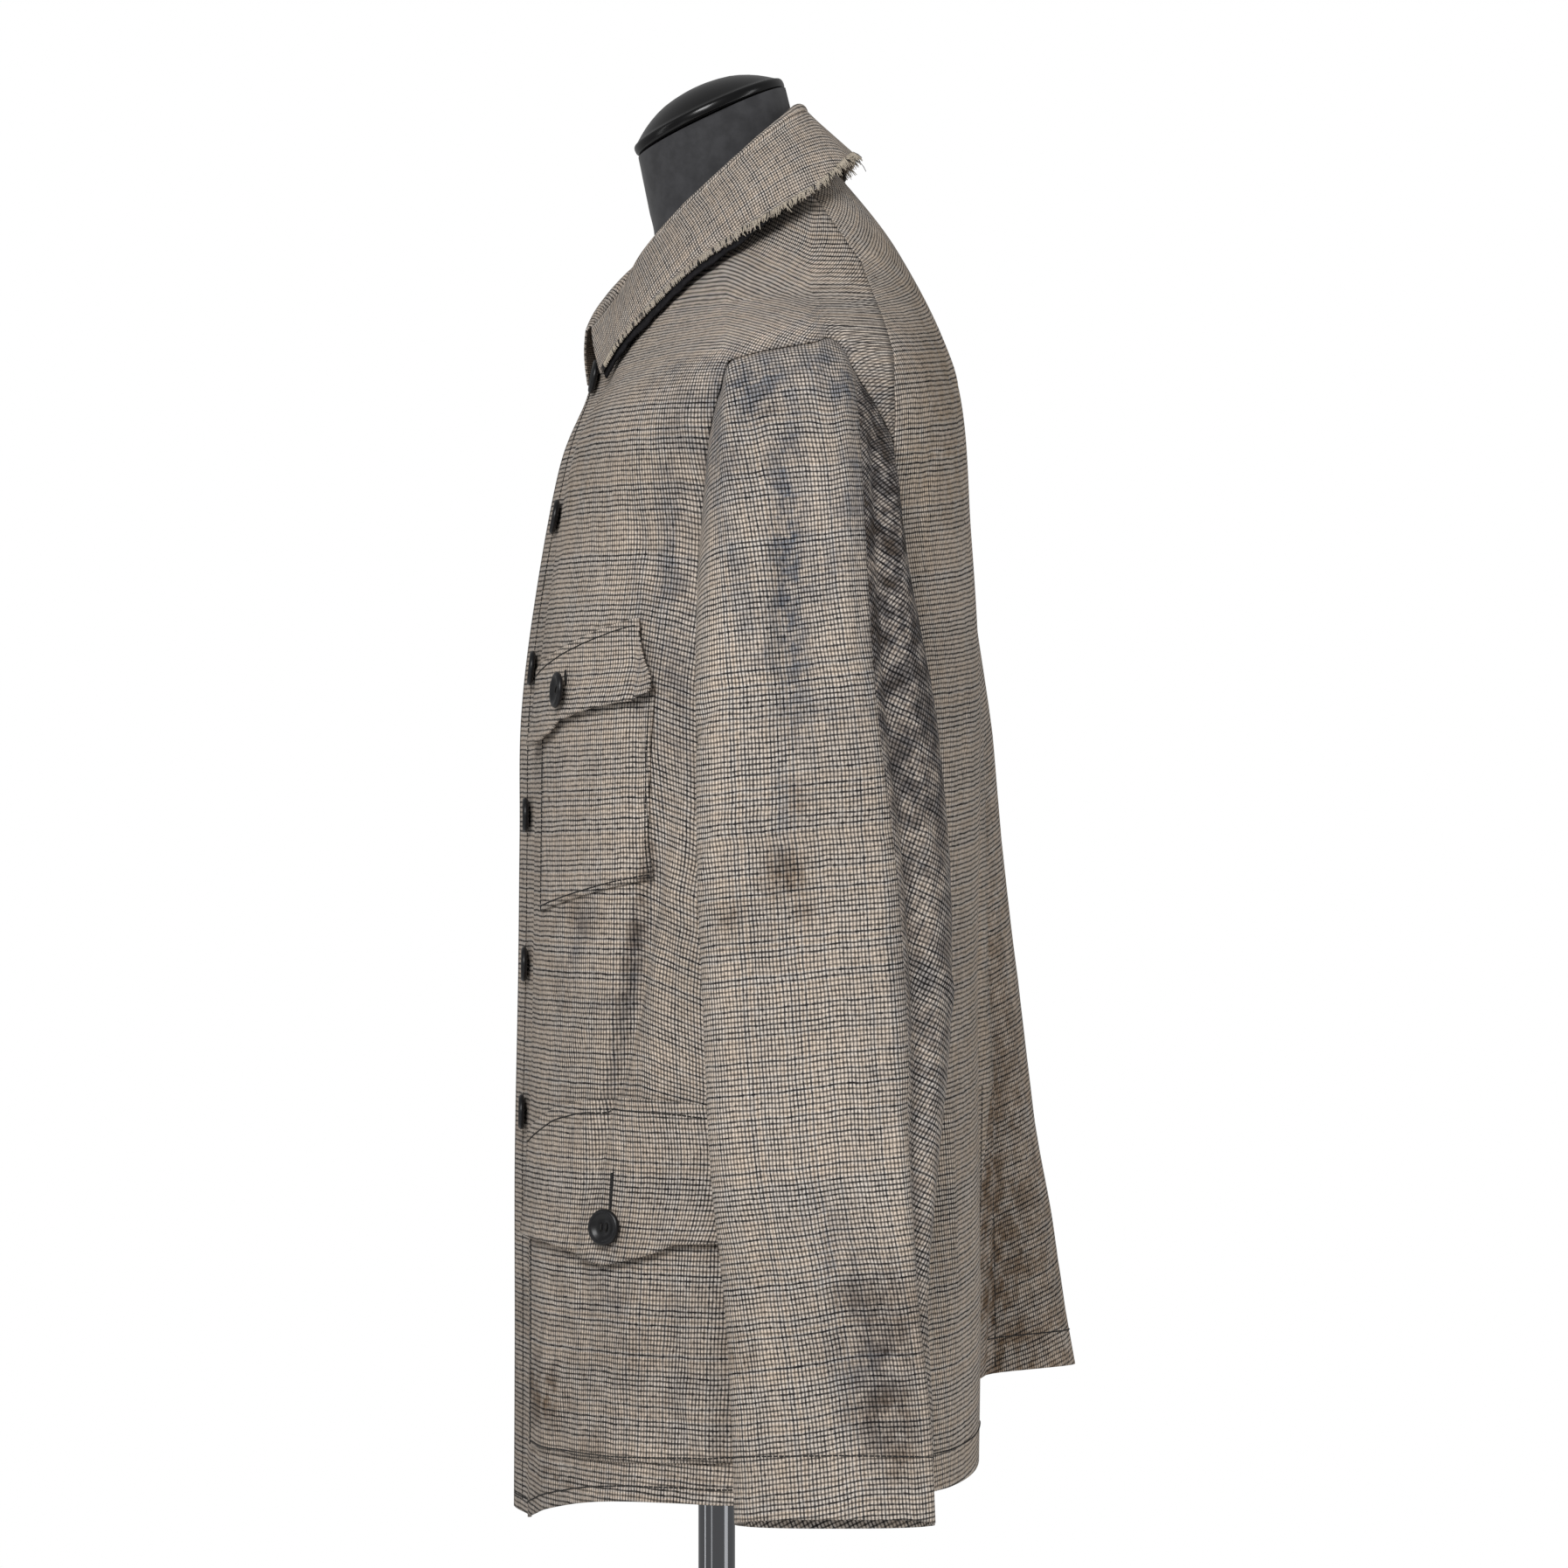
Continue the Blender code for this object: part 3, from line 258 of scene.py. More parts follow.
# degrees round the body, height, distance out
FLAP_BUTTONS = {"chest": (39.0, 1.208, 0.0067), "lower": (54.0, 0.893, 0.0077)}
BUTTON_STANDOFF = 0.0012
# the buttons hang a little askew on their threads
FRONT_SWING = -12.0
FLAP_SWING = {"chest": -14.0, "lower": 10.0}
BUTTON_RADIUS = 0.0108
HOLE_REACH = 0.0026
HOLE_RADIUS = 0.00085
# a button's thread: radius of the bars and of the legs; three bars side by side, each a little higher
BAR_RADIUS = 0.00026
LEG_RADIUS = 0.0005
BAR_APART = 0.0004
BAR_HEIGHT = 0.0019
BAR_RISE = 0.0002
# a button's half section: radius, height above the back
BUTTON_FINE = ((0.0, 0.0017), (0.0026, 0.0017), (0.0046, 0.0019), (0.0060, 0.0024), (0.0072, 0.0032),
               (0.0083, 0.0037), (0.0094, 0.0037), (0.0103, 0.0031), (0.0108, 0.0022), (0.0106, 0.0012),
               (0.0097, 0.0004), (0.0082, 0.0), (0.0, 0.0))

# Dress form, its cap, pole and base
FORM_COLUMNS = ("z_front", "z_back", "y_front", "y_back", "half_width")
FORM_ROWS = (
    (0.800, 0.800, -0.104, 0.078, 0.160),
    (0.860, 0.860, -0.112, 0.086, 0.170),
    (0.940, 0.940, -0.112, 0.084, 0.168),
    (1.050, 1.050, -0.106, 0.076, 0.152),
    (1.150, 1.150, -0.118, 0.084, 0.162),
    (1.240, 1.250, -0.132, 0.092, 0.174),
    (1.300, 1.345, -0.126, 0.090, 0.186),
    (1.335, 1.398, -0.117, 0.080, 0.186),
    (1.372, 1.446, -0.106, 0.068, 0.176),
    (1.400, 1.479, -0.096, 0.055, 0.139),
    (1.425, 1.503, -0.087, 0.035, 0.099),
    (1.454, 1.520, -0.080, 0.016, 0.064),
    (1.490, 1.537, -0.0800, 0.0082, 0.051),
    (1.508, 1.552, -0.0835, 0.0082, 0.048),
    (1.5400, 1.5830, -0.0900, 0.0010, 0.0465),
)
FORM_POWER = 2.2
CAP_CENTRE = (0.0, -0.0446, 1.5618)
CAP_TILT = math.radians(24.9)
POLE_RADIUS = 0.01135
SEAT_GAP = 0.0003
# half sections: radius, height
CAP_FINE = (
    (0.0, 0.0237), (0.006, 0.0236), (0.012, 0.0230), (0.018, 0.0220), (0.024, 0.0206), (0.029, 0.0188),
    (0.034, 0.0165), (0.039, 0.0137), (0.0430, 0.0110), (0.0462, 0.0086), (0.0480, 0.0072), (0.0488, 0.0070),
    (0.0496, 0.0066), (0.0502, 0.0058), (0.0505, 0.0046), (0.0505, 0.0030), (0.0503, 0.0018),
    (0.0498, 0.0010), (0.0490, 0.0006), (0.0, 0.0006),
)
BASE_FINE = (
    (0.0, 0.0240), (0.0180, 0.0240), (0.0200, 0.0240), (0.0212, 0.0236), (0.0220, 0.0228), (0.0225, 0.0215),
    (0.0228, 0.0190), (0.0233, 0.0170), (0.0240, 0.0160), (0.0600, 0.0150), (0.1100, 0.0137),
    (0.1700, 0.0120), (0.1790, 0.0113), (0.1850, 0.0102), (0.1882, 0.0084), (0.1896, 0.0062),
    (0.1900, 0.0045), (0.1900, 0.0018), (0.1896, 0.0008), (0.1885, 0.0), (0.0, 0.0),
)

# Fineness of the shells: rows of cells from ring to ring, and cells across
FINE_SPANS = ((0.0, 5.0, 112), (5.0, 7.0, 44), (7.0, 9.0, 34))
FINE_FRONT = (64, 16)
FINE_BACK = (52, 8)
FINE_SLEEVE_SPANS = ((0.0, 1.0, 48), (1.0, 7.0, 108))
FINE_TOP = 64
FINE_UNDER = 44
COLLAR_FINE = 240
POCKET_FINE = {
    "chest_pocket": (40, 48), "chest_flap": (52, 22), "lower_pocket": (56, 56), "lower_flap": (64, 32),
}
# the shells' seams are this share of the solids' gaps
SEAM_SHARE = 0.10
# the cap seam fades out from ring 7 to this one
CAP_FADES = 8.5

# Vent in the centre back seam, and the part of the right back that lies below the left one there
VENT_TOP = 0.968
VENT_EASE = 0.04
SEAM_HALF_GAP = 0.0006
SEAM_CLOSED = 0.00005
UNDERLAP_CELLS = 8
UNDERLAP_X = 0.030
UNDERLAP_INSET = 0.0035

# Soft creases of the body, troughs negative: side, angle, z, slant, half length, half width,
# depth
CREASES = (
    (LEFT, 51.0, 0.935, 4.0, 0.060, 0.010, -0.0026),
    (LEFT, 46.0, 0.850, -6.0, 0.060, 0.009, -0.0020),
    (LEFT, 57.0, 0.820, 12.0, 0.050, 0.010, 0.0022),
    (LEFT, 66.0, 0.860, -10.0, 0.055, 0.011, -0.0020),
    (LEFT, 38.0, 0.790, 20.0, 0.045, 0.009, 0.0018),
    (LEFT, 72.0, 0.790, -24.0, 0.050, 0.009, 0.0020),
    (LEFT, 30.0, 1.015, 52.0, 0.060, 0.010, -0.0016),
    (LEFT, 41.0, 1.000, 44.0, 0.060, 0.009, 0.0016),
    (LEFT, 66.0, 1.055, -14.0, 0.085, 0.010, -0.0022),
    (LEFT, 70.0, 1.130, 6.0, 0.070, 0.009, 0.0018),
    (LEFT, 60.0, 1.290, -32.0, 0.060, 0.011, -0.0018),
    (LEFT, 70.0, 1.350, -22.0, 0.055, 0.010, 0.0018),
    (LEFT, 24.0, 1.300, 36.0, 0.060, 0.012, -0.0014),
    (LEFT, 95.0, 1.425, -16.0, 0.060, 0.011, 0.0040),
    (LEFT, 87.5, 1.420, -18.0, 0.050, 0.011, -0.0026),
    (LEFT, 102.0, 1.415, -14.0, 0.040, 0.010, -0.0020),
    (LEFT, 57.5, 1.030, 14.0, 0.180, 0.011, -0.0078),
    (LEFT, 60.0, 1.180, 2.0, 0.090, 0.010, -0.0026),
    (LEFT, 118.0, 0.830, 5.0, 0.080, 0.011, -0.0024),
    (LEFT, 140.0, 0.900, -4.0, 0.110, 0.010, 0.0024),
    (LEFT, 126.0, 1.060, 10.0, 0.090, 0.010, -0.0022),
    (LEFT, 150.0, 1.190, 16.0, 0.080, 0.012, -0.0020),
    (LEFT, 132.0, 1.330, 34.0, 0.060, 0.012, -0.0020),
    (LEFT, 160.0, 1.390, 50.0, 0.050, 0.012, 0.0016),
    (RIGHT, 48.0, 0.930, -5.0, 0.055, 0.010, -0.0024),
    (RIGHT, 58.0, 0.840, 10.0, 0.055, 0.010, 0.0020),
    (RIGHT, 35.0, 0.860, -14.0, 0.050, 0.009, -0.0018),
    (RIGHT, 34.0, 1.020, 48.0, 0.055, 0.010, -0.0016),
    (RIGHT, 68.0, 1.070, 12.0, 0.080, 0.010, -0.0020),
    (RIGHT, 62.0, 1.310, -30.0, 0.060, 0.011, -0.0017),
    (RIGHT, 26.0, 1.290, 38.0, 0.055, 0.012, -0.0013),
    (RIGHT, 93.0, 1.425, -14.0, 0.055, 0.011, 0.0034),
    (RIGHT, 86.0, 1.415, -18.0, 0.050, 0.011, -0.0022),
    (RIGHT, 52.0, 1.020, 4.0, 0.100, 0.013, -0.0034),
    (RIGHT, 120.0, 0.880, -6.0, 0.080, 0.011, -0.0022),
    (RIGHT, 146.0, 0.940, 9.0, 0.100, 0.012, -0.0024),
    (RIGHT, 160.0, 0.860, 6.0, 0.080, 0.010, 0.0020),
    (RIGHT, 136.0, 1.170, -12.0, 0.080, 0.012, 0.0020),
    (RIGHT, 128.0, 1.330, 30.0, 0.060, 0.012, -0.0018),
    (RIGHT, 158.0, 1.400, 46.0, 0.050, 0.012, 0.0015),
)
METRES_PER_DEGREE = 0.0029

# Creases of a sleeve: angle round it, height, slant, half length, half width, depth
SLEEVE_CREASES = (
    (20.0, 1.190, 60.0, 0.050, 0.011, -0.0026),
    (36.0, 1.120, 48.0, 0.060, 0.010, 0.0020),
    (150.0, 1.130, -40.0, 0.060, 0.011, -0.0026),
    (165.0, 1.040, -52.0, 0.050, 0.010, 0.0022),
    (60.0, 1.060, 20.0, 0.060, 0.010, -0.0016),
    (120.0, 0.980, -28.0, 0.070, 0.011, -0.0020),
    (80.0, 0.900, 8.0, 0.080, 0.012, 0.0016),
    (50.0, 0.850, 16.0, 0.070, 0.010, -0.0018),
    (130.0, 0.870, -12.0, 0.060, 0.010, 0.0018),
    (100.0, 0.790, 34.0, 0.050, 0.010, -0.0016),
    (240.0, 1.080, 30.0, 0.060, 0.012, -0.0022),
    (290.0, 0.980, -24.0, 0.060, 0.012, 0.0018),
    (220.0, 0.880, 14.0, 0.060, 0.010, -0.0018),
    (64.0, 1.345, -4.0, 0.045, 0.008, -0.0020),
    (52.0, 1.340, 2.0, 0.050, 0.008, 0.0016),
    (22.0, 1.368, 4.0, 0.034, 0.0050, -0.0015),
    (36.0, 1.376, 2.0, 0.028, 0.0045, -0.0016),
    (48.0, 1.384, 0.0, 0.022, 0.0040, -0.0013),
    (108.0, 1.372, 16.0, 0.028, 0.0050, -0.0016),
    (122.0, 1.350, 22.0, 0.032, 0.0050, -0.0018),
    (138.0, 1.340, 26.0, 0.034, 0.0055, -0.0016),
)
SLEEVE_METRES_PER_DEGREE = 0.00105
# angles round a sleeve are counted from this far before its front
SLEEVE_FROM = 60.0
# the top sleeve stands over the undersleeve along their back seam: height, angle from the seam and half width
# of the ridge and of the trough, and their share by row
HINDARM_RIDGE = (0.0045, -9.0, 11.0)
HINDARM_TROUGH = (0.0090, 12.0, 13.0)
HINDARM_FADES = ((0.0, 0.0), (0.35, 0.8), (1.0, 1.0), (3.5, 1.0), (5.0, 0.5), (7.0, 0.2))

# How the cloth's grain lies on each piece
BACK_GRAIN = {"left": 4.0, "right": -9.0}
UNDERSLEEVE_GRAIN = 25.0
COLLAR_GRAIN = 27.0
TOP_SLEEVE_SLANT = 0.10
# where the front's rows fall towards the back: height, then (y, how far they have fallen)
FALLING_ROWS = (
    (0.93, ((-0.085, 0.0), (-0.030, 0.003))),
    (0.99, ((-0.083, 0.0), (-0.035, 0.018))),
    (1.08, ((-0.085, 0.0), (-0.035, 0.020))),
    (1.22, ((-0.083, 0.0), (-0.035, 0.016))),
    (1.32, ((-0.060, 0.0), (-0.030, 0.005))),
    (1.37, ((-0.034, 0.0), (0.016, 0.026))),
    (1.50, ((-0.034, 0.0), (0.016, 0.030))),
)
REFERENCE_LINE = 36
# the ring on which a panel's rows are level
GRAIN_RING = {"front": 4.0, "back": 5.0}
SLOPE_SHARE = 0.5

# Darkening and yellowing all over a piece: blue-grey, brown and yellowed. On the undersleeve the blue-grey
# and brown are mostly painted shade below the top sleeve, with some staining
SOIL_AND_SHADE_ALL_OVER = {
    "plain": (0.04, 0.05, 0.02), "front": (0.05, 0.12, 0.04), "back": (0.04, 0.06, 0.16),
    "undersleeve": (0.80, 0.55, 0.0), "collar": (0.04, 0.10, 0.05),
}
# colours of the small specks, and of the warmer and the cooler light yarns
SPECK = "33281F"
WARM_YARN = "D6B08E"
COOL_YARN = "A7B1C2"
# how the undersleeve's painted shade and staining, the right back's painted shade beside the vent and the
# fronts' darkening towards the bottom go with height
UNDERSLEEVE_SHADE_AND_SOIL = ((0.78, 0.25), (0.95, 0.6), (1.12, 1.0), (1.24, 1.7))
RIGHT_BACK_VENT_SHADE = ((0.85, 1.0), (1.0, 0.75), (1.2, 0.1))
LOW_FRONT_DARKENING = ((0.80, 1.0), (1.02, 0.0))
LOW_FRONT_DARKENING_KINDS = (0.14, 0.12)
# the right back's painted shade beside the vent starts at this x and is full this much nearer the seam
VENT_SHADE_FROM = -0.13
VENT_SHADE_EASE = 0.10
# the wearer's right side, turned from the camera, is cleaner, and its painted shade is weaker
HIDDEN_SIDE = 0.6
HIDDEN_UNDERSLEEVE = 0.5
# how deep each mark of the table below goes across the body, and how softly it ends
STAIN_AND_SHADE_DEPTH = 0.09
STAIN_AND_SHADE_EASE = 1.9

# Stains, and bands of painted shade in folds and beside the sleeve, in the jacket's own frame: x, y, z
# of the middle, reach along y and z, lean of the long axis in degrees, strength, kind (0 blue-grey, 1 brown,
# 2 yellowed)
STAIN_AND_SHADE_ROWS = (
    (0.22, 0.022, 1.378, 0.036, 0.022, -12.0, 1.10, 0),
    (0.22, 0.062, 1.392, 0.026, 0.020, -20.0, 1.00, 0),
    (0.27, -0.020, 1.372, 0.018, 0.040, 0.0, 0.80, 0),
    (0.27, 0.000, 1.345, 0.022, 0.040, 10.0, 0.75, 0),
    (0.27, 0.085, 1.330, 0.016, 0.070, -15.0, 0.85, 0),
    (0.27, 0.098, 1.250, 0.012, 0.075, -8.0, 0.70, 0),
    (0.29, 0.012, 1.290, 0.007, 0.050, 14.0, 0.65, 0),
    # a band of painted shade in the sleeve's fold trough
    (0.29, 0.044, 1.290, 0.011, 0.110, 2.0, 1.30, 0),
    (0.24, 0.033, 1.384, 0.012, 0.018, 0.0, 1.20, 0),
    (0.24, 0.075, 1.380, 0.010, 0.022, 0.0, 1.20, 0),
    # painted shade on the front beside the sleeve
    (0.20, -0.022, 1.260, 0.012, 0.100, 0.0, 0.80, 0),
    # painted shade, blue-grey and brown, along the front's fold trough between the pockets
    (0.20, -0.045, 1.055, 0.006, 0.080, -11.0, 0.80, 0),
    (0.20, -0.044, 1.075, 0.005, 0.060, -11.0, 0.80, 1),
    (0.29, 0.030, 1.230, 0.008, 0.030, 30.0, 0.70, 0),
    (0.29, 0.052, 1.190, 0.022, 0.012, 12.0, 0.70, 0),
    (0.29, 0.040, 1.140, 0.005, 0.035, 0.0, 0.60, 0),
    (0.27, 0.110, 1.060, 0.014, 0.090, -6.0, 0.60, 0),
    (0.20, -0.078, 1.065, 0.005, 0.040, -16.0, 0.70, 0),
    (0.20, -0.060, 1.025, 0.022, 0.007, 8.0, 0.55, 0),
    (0.20, -0.060, 0.860, 0.010, 0.050, 10.0, 0.50, 0),
    (0.29, 0.062, 0.910, 0.018, 0.016, 0.0, 0.55, 0),
    (0.29, 0.090, 0.830, 0.020, 0.060, 8.0, 0.85, 0),
    (0.29, 0.070, 0.885, 0.010, 0.030, 20.0, 0.60, 0),
    (0.15, -0.040, 1.240, 0.010, 0.060, 0.0, 0.50, 0),
    (0.29, 0.042, 1.102, 0.012, 0.014, 0.0, 0.85, 1),
    (0.29, 0.050, 1.090, 0.006, 0.018, 20.0, 0.75, 1),
    (0.29, 0.010, 1.080, 0.008, 0.010, 0.0, 0.70, 1),
    (0.29, 0.050, 1.145, 0.006, 0.008, 0.0, 0.60, 1),
    (0.29, 0.095, 0.850, 0.022, 0.030, 30.0, 0.70, 1),
    (0.29, 0.100, 0.800, 0.018, 0.022, 0.0, 0.85, 1),
    (0.29, 0.108, 0.770, 0.010, 0.014, 0.0, 0.80, 1),
    (0.29, 0.015, 0.830, 0.010, 0.012, 0.0, 0.55, 1),
    (0.20, -0.085, 1.075, 0.020, 0.016, -10.0, 0.65, 1),
    (0.20, -0.090, 1.035, 0.012, 0.024, 10.0, 0.50, 1),
    (0.15, -0.095, 0.742, 0.016, 0.004, 0.0, 0.95, 1),
    (0.15, -0.102, 0.790, 0.017, 0.024, 0.0, 0.90, 1),
    (0.18, -0.070, 0.760, 0.010, 0.030, 0.0, 0.45, 1),
    (0.25, 0.035, 1.370, 0.006, 0.008, 0.0, 0.60, 1),
    (0.10, 0.125, 1.360, 0.030, 0.090, -10.0, 0.70, 2),
    (0.05, 0.110, 1.450, 0.050, 0.040, -30.0, 0.45, 2),
    (0.15, -0.105, 1.330, 0.040, 0.030, 0.0, 0.30, 2),
    (0.05, 0.165, 0.990, 0.030, 0.160, 0.0, 0.40, 2),
)

# Stitches: distance above the cloth's middle, height of the hems, the cuff's row, the front edge's line, and
# the vent's line and top ring
ABOVE = 0.0009
FRONT_HEM = 0.009
BACK_HEM = 0.022
CUFF_ROW = 6.37
EDGE_STITCH = 0.62
VENT_STITCH = 0.35
VENT_STITCH_TOP = 2.35
POCKET_SEAMS = {
    "chest_pocket": (("down", 0.02), ("down", 0.98), ("across", -0.003)),
    "chest_flap": (("across", 0.0045),),
    "lower_pocket": (("down", 0.015), ("down", 0.985), ("across", -0.003)),
    "lower_flap": (("across", 0.0075),),
}
# lower end and upper end as a share of the flap's height, half width as a share of its width; zigzags, their
# pitch and thread
BUTTONHOLES = {"chest": (0.45, 0.66, 0.010), "lower": (0.33, 0.55, 0.0065)}
BUTTONHOLE_TURNS = 44
BUTTONHOLE_PITCH = 0.0008
BUTTONHOLE_THREAD = 0.00028

# Raw yarns at the collar's edge: their pitch, and how far from the ends they stay
FRAY_PITCH = 0.0011
FRAY_MARGIN = 0.004
# position along the collar, and how much of the back's raggedness there is
FRINGE = ((3.4, 1.0), (4.6, 0.0))
# least, what the front adds and what the back adds
YARN_REACH = (0.0011, 0.0006, 0.0042)
# least, and what chance adds
YARN_INSIDE = (0.0022, 0.0012)
YARN_ABOVE = 0.0009
YARN_ARCH = 0.0004
# radii of the inner and of the outer half
YARN_ROOT = (0.00034, 0.00036)
YARN_TIP = (0.00034, 0.00020)
# share of dark yarns at the front, and how much less at the back
DARK_YARNS = (0.34, 0.16)
# the tuft at the collar's back corner: threads, place along the collar, size of its root, radii
TUFT_THREADS = 46
TUFT_AT = 0.9
TUFT_ROOT = 0.0022
TUFT_RADII = (0.00030, 0.00028, 0.00015)
LOOSE_RADII = (0.00022, 0.00020)
LOOSE_THREAD = ((0.0, 0.0, 0.0), (0.0004, 0.004, 0.0010), (0.0006, 0.007, -0.0002), (0.0004, 0.0095, -0.0030),
                (0.0, 0.0112, -0.0062))

# The stage. The camera's focal length is 6475 pixels of the photograph, whose side is 1794
SENSOR = 36.0
FOCAL_PIXELS = 6475
PICTURE = 1794
FLOOR_RADIUS = 2.4
ROOM_LIGHT = 0.31
WHITE = (1.0, 1.0, 1.0, 1.0)
# name, place, aim, size, power
LIGHTS = (
    ("large soft key", (2.8, -0.80, 2.7), (0.1, 0.0, 1.15), (1.1, 1.1), 76.0),
    ("front strip", (0.6, -2.6, 1.3), (0.0, 0.0, 1.1), (0.25, 2.2), 5.0),
    ("back strip", (0.9, 2.6, 1.6), (0.0, 0.0, 1.1), (0.4, 2.2), 15.0),
    ("pole strip", (2.0, -1.2, 0.30), (0.0, 0.0, 0.30), (0.28, 0.9), 0.9),
    ("pole fill", (1.1, 2.1, 0.30), (0.0, 0.0, 0.30), (1.00, 0.9), 4.0),
)


def unit(vectors):
    """Vectors of length one."""
    return vectors / np.linalg.norm(vectors, axis=-1, keepdims=True)


def travelled(path):
    """How far along a path each of its points lies."""
    return np.concatenate(((0,), np.cumsum(np.linalg.norm(np.diff(path, axis=0), axis=1))))


def followed(at, places, points):
    """Points of a path, read at some places along it."""
    return np.stack([np.interp(at, places, points[:, k]) for k in range(3)], axis=-1)


def on_side(rows, side):
    """The rows of a table that belong to a side, without their first column."""
    return [row[1:] for row in rows if row[0] == side]


def by_height(z, steps):
    """A value that goes with height, from (height, value) steps."""
    return np.interp(z, *zip(*steps))


def squared_round(angle, power):
    """Cosine and sine on a ring that is squarer than a circle."""
    cosine, sine = np.cos(angle), np.sin(angle)
    return np.sign(cosine) * np.abs(cosine) ** (2 / power), np.sign(sine) * np.abs(sine) ** (2 / power)


def creased(rows, degrees, z, per_degree):
    """How far the listed creases move the cloth out."""
    push = np.zeros_like(z)
    for angle, height, slant, half_length, half_width, depth in rows:
        across = (degrees - angle) * per_degree
        up = z - height
        lean = math.radians(slant)
        along = up * math.cos(lean) + across * math.sin(lean)
        beside = across * math.cos(lean) - up * math.sin(lean)
        push = push + depth * bell(beside / half_width) * bell(along / half_length)
    return push


def table(columns, rows):
    """Named columns as arrays."""
    return {name: np.array([row[k] for row in rows], dtype=float) for k, name in enumerate(columns)}


BODY = table(BODY_COLUMNS, BODY_ROWS)
EDGE = table(EDGE_COLUMNS, EDGE_ROWS)
SLEEVE = table(SLEEVE_COLUMNS, SLEEVE_ROWS)
CAP_TABLE = table(CAP_COLUMNS, CAP_ROWS)
COLLAR = table(COLLAR_COLUMNS, COLLAR_ROWS)
FORM = table(FORM_COLUMNS, FORM_ROWS)


def spline(values, at):
    """A smooth curve through the values, read at fractional row numbers."""
    at = np.asarray(at, dtype=float)
    last = len(values) - 1
    low = np.clip(np.floor(at).astype(int), 0, last - 1)
    t = at - low
    before = values[np.clip(low - 1, 0, last)]
    here = values[low]
    there = values[low + 1]
    after = values[np.clip(low + 2, 0, last)]
    slope_here = (there - before) / 2
    slope_there = (after - here) / 2
    t2 = t * t
    t3 = t2 * t
    return ((2 * t3 - 3 * t2 + 1) * here + (t3 - 2 * t2 + t) * slope_here
            + (3 * t2 - 2 * t3) * there + (t3 - t2) * slope_there)


def bell(distance):
    """One at the middle, nothing from a distance of one."""
    near = np.clip(1 - np.abs(distance), 0, 1)
    return near * near * (3 - 2 * near)


def front_turn(x):
    """The middle of the front is turned a little to the wearer's left."""
    return FRONT_TURN * x * np.exp(-(x / FRONT_TURN_REACH) ** 2)


def section(side, phi, ring):
    """A point of the body: phi runs from the centre front (0) to the centre back (pi)."""
    phi, ring = np.broadcast_arrays(np.asarray(phi, dtype=float), np.asarray(ring, dtype=float))
    row = {name: spline(BODY[name], ring) for name in BODY_COLUMNS}
    cosine, sine = np.cos(phi), np.sin(phi)
    front = cosine >= 0
    power = 2 / np.where(front, row["n_front"], row["n_back"])
    reach = np.where(front, row["y_front"], row["y_back"]) - row["y_side"]
    x = side * row["half_width"] * np.sign(sine) * np.abs(sine) ** power
    y = row["y_side"] + reach * np.abs(cosine) ** power
    rise = np.where(front, row["z_front"], row["z_back"]) - row["z_side"]
    z = row["z_side"] + rise * np.abs(cosine) ** np.where(front, row["ease"], BACK_EASE)
    if side == RIGHT:
        z = z + row["right_lift"] * (RIGHT_LIFT_AT_SIDE + (1 - RIGHT_LIFT_AT_SIDE) * np.abs(cosine))
    y = y + np.where(front, front_turn(x), 0)
    for crest, inward, outward, depths in on_side(BACK_FOLDS, side):
        away = side * (x - crest)
        across = bell(away / np.where(away < 0, inward, outward))
        y = y + np.where(front, 0, across * by_height(z, depths))
    degrees = np.degrees(phi)
    push = np.zeros_like(x)
    for low, high, half, depth, ring_low, ring_high in on_side(FOLD_ROWS, side):
        along = (ring - ring_low) / (ring_high - ring_low)
        middle = low + (high - low) * along
        fade = bell(2 * along - 1) ** 0.5
        push = push + depth * fade * bell((degrees - middle) / half)
    push = push + creased(on_side(CREASES, side), degrees, z, METRES_PER_DEGREE)
    x = x + push * side * sine
    y = y - push * cosine
    return np.stack((x, y, z), axis=-1)


def body(side, phi, ring, out=0.0):
    """The body's surface, moved out along its normal."""
    point = section(side, phi, ring)
    if np.all(np.asarray(out) == 0):
        return point
    around = section(side, phi + STEP, ring) - section(side, phi - STEP, ring)
    up = section(side, phi, np.minimum(ring + STEP, NECK)) - section(side, phi, ring - STEP)
    return point + unit(np.cross(around, up) * side) * np.asarray(out)[..., None]


def angle_of_x(ring, x):
    """Where the front or back has this distance from the middle."""
    share = np.abs(x) / spline(BODY["half_width"], ring)
    return np.sign(x) * np.arcsin(share ** (spline(BODY["n_front"], ring) / 2))


def angle_of_y(ring, y):
    """Where the ring has this y."""
    y_side = spline(BODY["y_side"], ring)
    ahead = y < y_side
    reach = np.where(ahead, spline(BODY["y_front"], ring), spline(BODY["y_back"], ring)) - y_side
    power = np.where(ahead, spline(BODY["n_front"], ring), spline(BODY["n_back"], ring)) / 2
    cosine = np.clip((y - y_side) / reach, 0, 1) ** power
    return np.where(ahead, np.arccos(cosine), np.pi - np.arccos(cosine))


def ring_where(side, phi_on, z, halvings=36):
    """The ring number that has this height, where phi_on gives the angle on a ring."""
    low = np.full(z.shape, -0.5)
    high = np.full(z.shape, float(NECK))
    for _ in range(halvings):
        middle = (low + high) / 2
        below = section(side, phi_on(middle), middle)[..., 2] < z
        low = np.where(below, middle, low)
        high = np.where(below, high, middle)
    return (low + high) / 2


def ring_at(side, phi, z):
    """The ring number that has this height at this angle."""
    phi, z = np.broadcast_arrays(phi, z)
    return ring_where(side, lambda ring: phi, z)


def edge_angle(name, ring):
    """The angle of the armhole, the side seam or the shoulder seam on a ring."""
    return angle_of_y(ring, np.interp(ring, EDGE["ring"], EDGE[name]))


